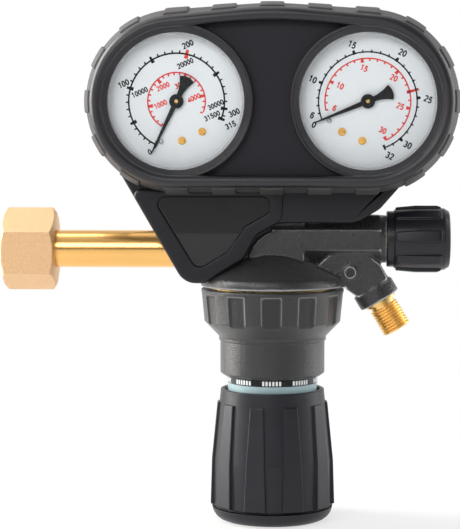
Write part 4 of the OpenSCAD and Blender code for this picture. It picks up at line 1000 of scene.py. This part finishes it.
# Small plug in the elbow: a rim with a six-sided recess
PLUG_R, PLUG_FRONT = half_width("bore_plug", X), ends("bore_plug", Y)[0]
HEX_R, HEX_DEPTH = 1.15, 1.0
# Distance of the recess's edge along each direction
hexagon = [HEX_R * cos(pi / 6) / cos(a % (pi / 3) - pi / 6) for a in around]
bm = bmesh.new()
stacked(bm, [
    (PLUG_R, -2.5), (PLUG_R, -0.35), (PLUG_R - 0.12, -0.1), (PLUG_R - 0.35, 0),
    ([r + 0.15 for r in hexagon], 0), (hexagon, -0.15), (hexagon, -HEX_DEPTH),
], move(middle("bore_plug", X), PLUG_FRONT, middle("bore_plug", Z)) @ TO_FRONT)
add_piece("plug_head", bm, BONNET, ROOT, replaces=("bore_plug",), slot="body_paint")

# Grips

# Border of a raised pad: distance in from the edge, drop as a share of its bevel
PAD_EDGE = ((0.0, 1.0), (0.1, 0.45), (0.3, 0.1), (0.6, 0.0))


def add_pad(bm, stations, bevel, root, matrix):
    """Raised pad along local Z, out along local X. stations are (z, half width, height of its flat face)."""

    def at(z):
        for (z0, w0, r0), (z1, w1, r1) in zip(stations, stations[1:]):
            if z <= z1:
                share = (z - z0) / (z1 - z0)
                return w0 + (w1 - w0) * share, r0 + (r1 - r0) * share
        raise ValueError(z)

    first, last = stations[0][0], stations[-1][0]
    levels = ([(first + d, drop) for d, drop in PAD_EDGE] + [(z, 0.0) for z, _, _ in stations[1:-1]]
              + [(last - d, drop) for d, drop in reversed(PAD_EDGE)])
    rows = []
    for z, end_drop in levels:
        w, h = at(z)
        sides = [(-w + d, drop) for d, drop in PAD_EDGE] + [(w - d, drop) for d, drop in reversed(PAD_EDGE)]
        top = [(h - bevel * max(drop, end_drop), t, z) for t, drop in sides]
        rows.append(top + [(h - root, w, z), (h - root, -w, z)])
    loft(bm, rows, matrix)


# Adjusting knob
KNOB_LOW, KNOB_HIGH = ends("adjusting_knob", Z)
KNOB_RIM_R, KNOB_FOOT_R = 23.15, 27.0
KNOB_BORE_R, KNOB_BORE_END, SHANK_R, HUB_END = 21.25, KNOB_HIGH - 9, 4.6, 29.5
KNOB_RIBS = 10
KNOB_TURN = radians(2.6)
RIB_TOP, RIB_KINK, RIB_END = KNOB_HIGH - 5.9, KNOB_HIGH - 31.7, KNOB_LOW + 7.4
RIB_WALL_TOP, RIB_WALL_KINK = 23.65, 26.2
RIB_OUT, PAD_ROOT = 0.9, 3.0
CAP_R, CAP_T, CAP_GAP = 8.0, 2.0, 0.05

bm = bmesh.new()
revolve(bm, rounded([
    (CAP_R + CAP_GAP, KNOB_LOW, 0), (KNOB_FOOT_R, KNOB_LOW, 6.5), (KNOB_FOOT_R, RIB_END - 1.1, 0.3),
    (KNOB_FOOT_R - 0.9, RIB_END - 0.8, 0.1), (KNOB_FOOT_R - 0.55, RIB_END - 0.2, 0.1),
    (RIB_WALL_KINK, RIB_KINK, 4), (RIB_WALL_TOP, RIB_TOP, 2), (KNOB_RIM_R, KNOB_HIGH - 1, 0),
    (KNOB_RIM_R, KNOB_HIGH, 0.6), (KNOB_BORE_R, KNOB_HIGH, 0.3), (KNOB_BORE_R, KNOB_BORE_END, 0.5),
    (SHANK_R, KNOB_BORE_END, 0), (SHANK_R, KNOB_HIGH - HUB_END, 0),
    (CAP_R + CAP_GAP, KNOB_LOW + CAP_T, 0),
], 6), ON_AXIS, 120)
for i in range(KNOB_RIBS):
    add_pad(bm, [
        (RIB_END, 5.0, KNOB_FOOT_R + RIB_OUT - 0.2), (RIB_KINK, 4.3, RIB_WALL_KINK + RIB_OUT),
        (RIB_TOP, 3.1, RIB_WALL_TOP + RIB_OUT),
    ], 0.45, PAD_ROOT, ON_AXIS @ turn(-pi / 2 + KNOB_TURN + 2 * pi * (i + 0.5) / KNOB_RIBS, "Z"))
add_piece("knob_grip", bm, KNOB, "adjusting_knob", replaces=("adjusting_knob",), slot="knob_plastic")

# Valve knob, drawn in its own frame from its neck outwards
VKNOB_LEN = 2 * half_width("valve_knob", X)
VKNOB_R = half_width("valve_knob", Y)
VKNOB_BODY_R, VKNOB_NECK_R, SPINDLE_R = 13.7, 12.4, 3.1
VKNOB_RIBS, VKNOB_TURN = 8, radians(37)
VCAP_R, VCAP_T = 9.0, 1.5
at_valve = move(ends("valve_knob", X)[0], 0, BRANCH_Z) @ turn(pi / 2, "Y")

bm = bmesh.new()
revolve(bm, rounded([
    (SPINDLE_R, -0.7, 0), (VKNOB_NECK_R, -0.7, 0.5), (VKNOB_NECK_R, 2.2, 0.2), (VKNOB_BODY_R - 0.6, 2.8, 0.5),
    (VKNOB_BODY_R, 12, 6), (VKNOB_BODY_R, VKNOB_LEN - 2.4, 1.2), (VKNOB_BODY_R - 1.4, VKNOB_LEN, 1.2),
    (VCAP_R + CAP_GAP, VKNOB_LEN, 0), (VCAP_R + CAP_GAP, VKNOB_LEN - VCAP_T, 0),
    (SPINDLE_R, VKNOB_LEN - VCAP_T, 0),
], 6), at_valve)
for i in range(VKNOB_RIBS):
    add_pad(bm, [
        (3.2, 2.0, VKNOB_R - 0.9), (12, 2.55, VKNOB_R - 0.15), (VKNOB_LEN - 5.5, 2.55, VKNOB_R - 0.15),
        (VKNOB_LEN - 3.6, 2.3, VKNOB_R - 0.8),
    ], 0.5, PAD_ROOT, at_valve @ turn(VKNOB_TURN + 2 * pi * i / VKNOB_RIBS, "Z"))
add_piece("valve_grip", bm, VALVE_KNOB, "valve_knob", replaces=("valve_knob",), slot="valve_knob_plastic")

# Label ring under its clear sleeve

LABEL_R = half_width("label_ring", X)
BLACK_BAND = 3.2
BAND_SINK = 0.06
split = LABEL_HIGH - BLACK_BAND
for name, low, high, material in (
    ("label_band", split, LABEL_HIGH, LABEL), ("label_foot", LABEL_LOW, split, LABEL_PALE),
):
    outer = LABEL_R - BAND_SINK
    profile = [(NECK_R, low, 0), (outer, low, 0), (outer, high, 0), (NECK_R, high, 0)]
    revolved(name, profile, ON_AXIS, material, ROOT, segments=120, replaces=("label_ring",),
             slot="label_black")

# Plain white strokes in groups, as a printed band has them
MARK_GROUPS, MARKS, MARK_PITCH, MARK_W = 9, 6, 1.5, 0.95
MARK_LOW, MARK_HIGH = LABEL_HIGH - 2.75, LABEL_HIGH - 0.75
MARK_IN, MARK_OUT = LABEL_R - 0.1, LABEL_R - 0.03
bm = bmesh.new()
for group in range(MARK_GROUPS):
    for k in range(MARKS):
        mid = -pi / 2 + 2 * pi * group / MARK_GROUPS + (k - (MARKS - 1) / 2) * MARK_PITCH / LABEL_R
        half = MARK_W / 2 / LABEL_R
        loft(bm, [[(r * cos(a), r * sin(a), z) for r, z in (
            (MARK_IN, MARK_LOW), (MARK_OUT, MARK_LOW), (MARK_OUT, MARK_HIGH), (MARK_IN, MARK_HIGH),
        )] for a in (mid - half, mid, mid + half)], ON_AXIS)
add_piece("label_marks", bm, PRINT_WHITE, ROOT, slot="label_black")

# Camera, light and stage

scene.view_settings.view_transform = "Standard"

CAMERA_AT = (125 * MM, -900 * MM, 60 * MM)
LENS_MM = 137.6
VIEW_CENTRE = (92 * MM, 0, -7 * MM)
MIDDLE = (0.11, 0, 0)


def aimed(name, data, at, target):
    """A camera or a lamp at its place, turned to a target."""
    thing = bpy.data.objects.new(name, data)
    thing.location = at
    thing.rotation_euler = (Vector(target) - Vector(at)).to_track_quat("-Z", "Y").to_euler()
    scene.collection.objects.link(thing)
    return thing


camera_data = bpy.data.cameras.new("camera")
camera_data.lens = LENS_MM
camera_data.sensor_width = 36
scene.camera = aimed("camera", camera_data, CAMERA_AT, VIEW_CENTRE)


def area_light(name, at, size, watts, colour=(1, 1, 1)):
    data = bpy.data.lights.new(name, "AREA")
    data.shape = "RECTANGLE"
    data.size, data.size_y = size
    data.energy = watts
    data.color = colour
    aimed(name, data, at, MIDDLE)


area_light("key_front", (-0.2, -0.95, 0.47), (0.8, 0.4), 4.7)
area_light("strip_left", (-0.8, 0.15, 0.3), (0.5, 1.1), 21, (1.0, 0.975, 0.94))
area_light("strip_right", (0.95, 0.25, 0.15), (0.35, 0.9), 4.5, (0.94, 0.96, 1.0))
area_light("top", (0.0, 0.15, 0.95), (0.9, 0.25), 2)

# Studio: white behind the object, and an even light all round. Its reflections show a room that is darker
# towards the reader and overhead, with a glow up on the left.
AMBIENT = 0.42
ROOM_DARK = 0.07
ROOF = 0.45
GLOW = 1.0
world = bpy.data.worlds.new("studio")
scene.world = world
n = Nodes(world)
background = n.tree.nodes["Background"]
background.inputs["Color"].default_value = (1, 1, 1, 1)
way = n.add("ShaderNodeSeparateXYZ", {0: n.add("ShaderNodeTexCoord", {}).outputs["Generated"]}).outputs
towards_reader = n.smooth(way["Y"], -0.85, -0.25, ROOM_DARK, 1.0)
overhead = n.smooth(way["Z"], 0.3, 0.75, 1.0, ROOF)
to_left = n.smooth(way["X"], 0.1, -0.5, 0.0, GLOW)
raised = n.smooth(way["Z"], 0.25, 0.5, 0.0, 1.0)
room = n.math("ADD", n.math("MULTIPLY", towards_reader, overhead), n.math("MULTIPLY", to_left, raised))
rays = n.add("ShaderNodeLightPath", {}).outputs
seen = n.math("MAXIMUM", rays["Is Camera Ray"], rays["Is Transmission Ray"])
unseen = n.spread(rays["Is Glossy Ray"], 0.0, 1.0, AMBIENT, room)
n.put(background, "Strength", n.spread(seen, 0.0, 1.0, unseen, 1.0))

# Pale floor: white to the camera and in reflections, with the object's soft shadow around its foot
FLOOR_HALF = 3.0
FLOOR_GAP = 0.0002
SHADOW_SHARE = 0.35
SHADOW_NEAR, SHADOW_FAR = 0.12, 0.45
floor_z = cad_box[0][2] - FLOOR_GAP
floor_mesh = bpy.data.meshes.new("floor")
floor_mesh.from_pydata([
    (x * FLOOR_HALF, y * FLOOR_HALF, floor_z) for x, y in ((-1, -1), (1, -1), (1, 1), (-1, 1))
], [], [(0, 1, 2, 3)])
floor = bpy.data.objects.new("floor", floor_mesh)
scene.collection.objects.link(floor)
material, n, shader = principled("floor")
n.put(shader, "Roughness", 0.9)
n.put(shader, "Specular IOR Level", 0.0)
n.put(shader, "Base Color", (0.9, 0.9, 0.9, 1))
place = n.add("ShaderNodeNewGeometry", {}).outputs["Position"]
away = n.add("ShaderNodeVectorMath", {0: place, 1: (AXIS_X * MM, 0, floor_z)}, operation="DISTANCE")
white_share = n.smooth(away.outputs["Value"], SHADOW_NEAR, SHADOW_FAR, 1 - SHADOW_SHARE, 1.0)
rays = n.add("ShaderNodeLightPath", {}).outputs
seen = n.math("MAXIMUM", rays["Is Camera Ray"], rays["Is Transmission Ray"])
share = n.math("MULTIPLY", n.math("MAXIMUM", seen, rays["Is Glossy Ray"]), white_share)
glow = n.add("ShaderNodeEmission", {}).outputs[0]
both = n.add("ShaderNodeMixShader", {0: share, 1: shader.outputs[0], 2: glow}).outputs[0]
n.put(n.tree.nodes["Material Output"], "Surface", both)
floor_mesh.materials.append(material)
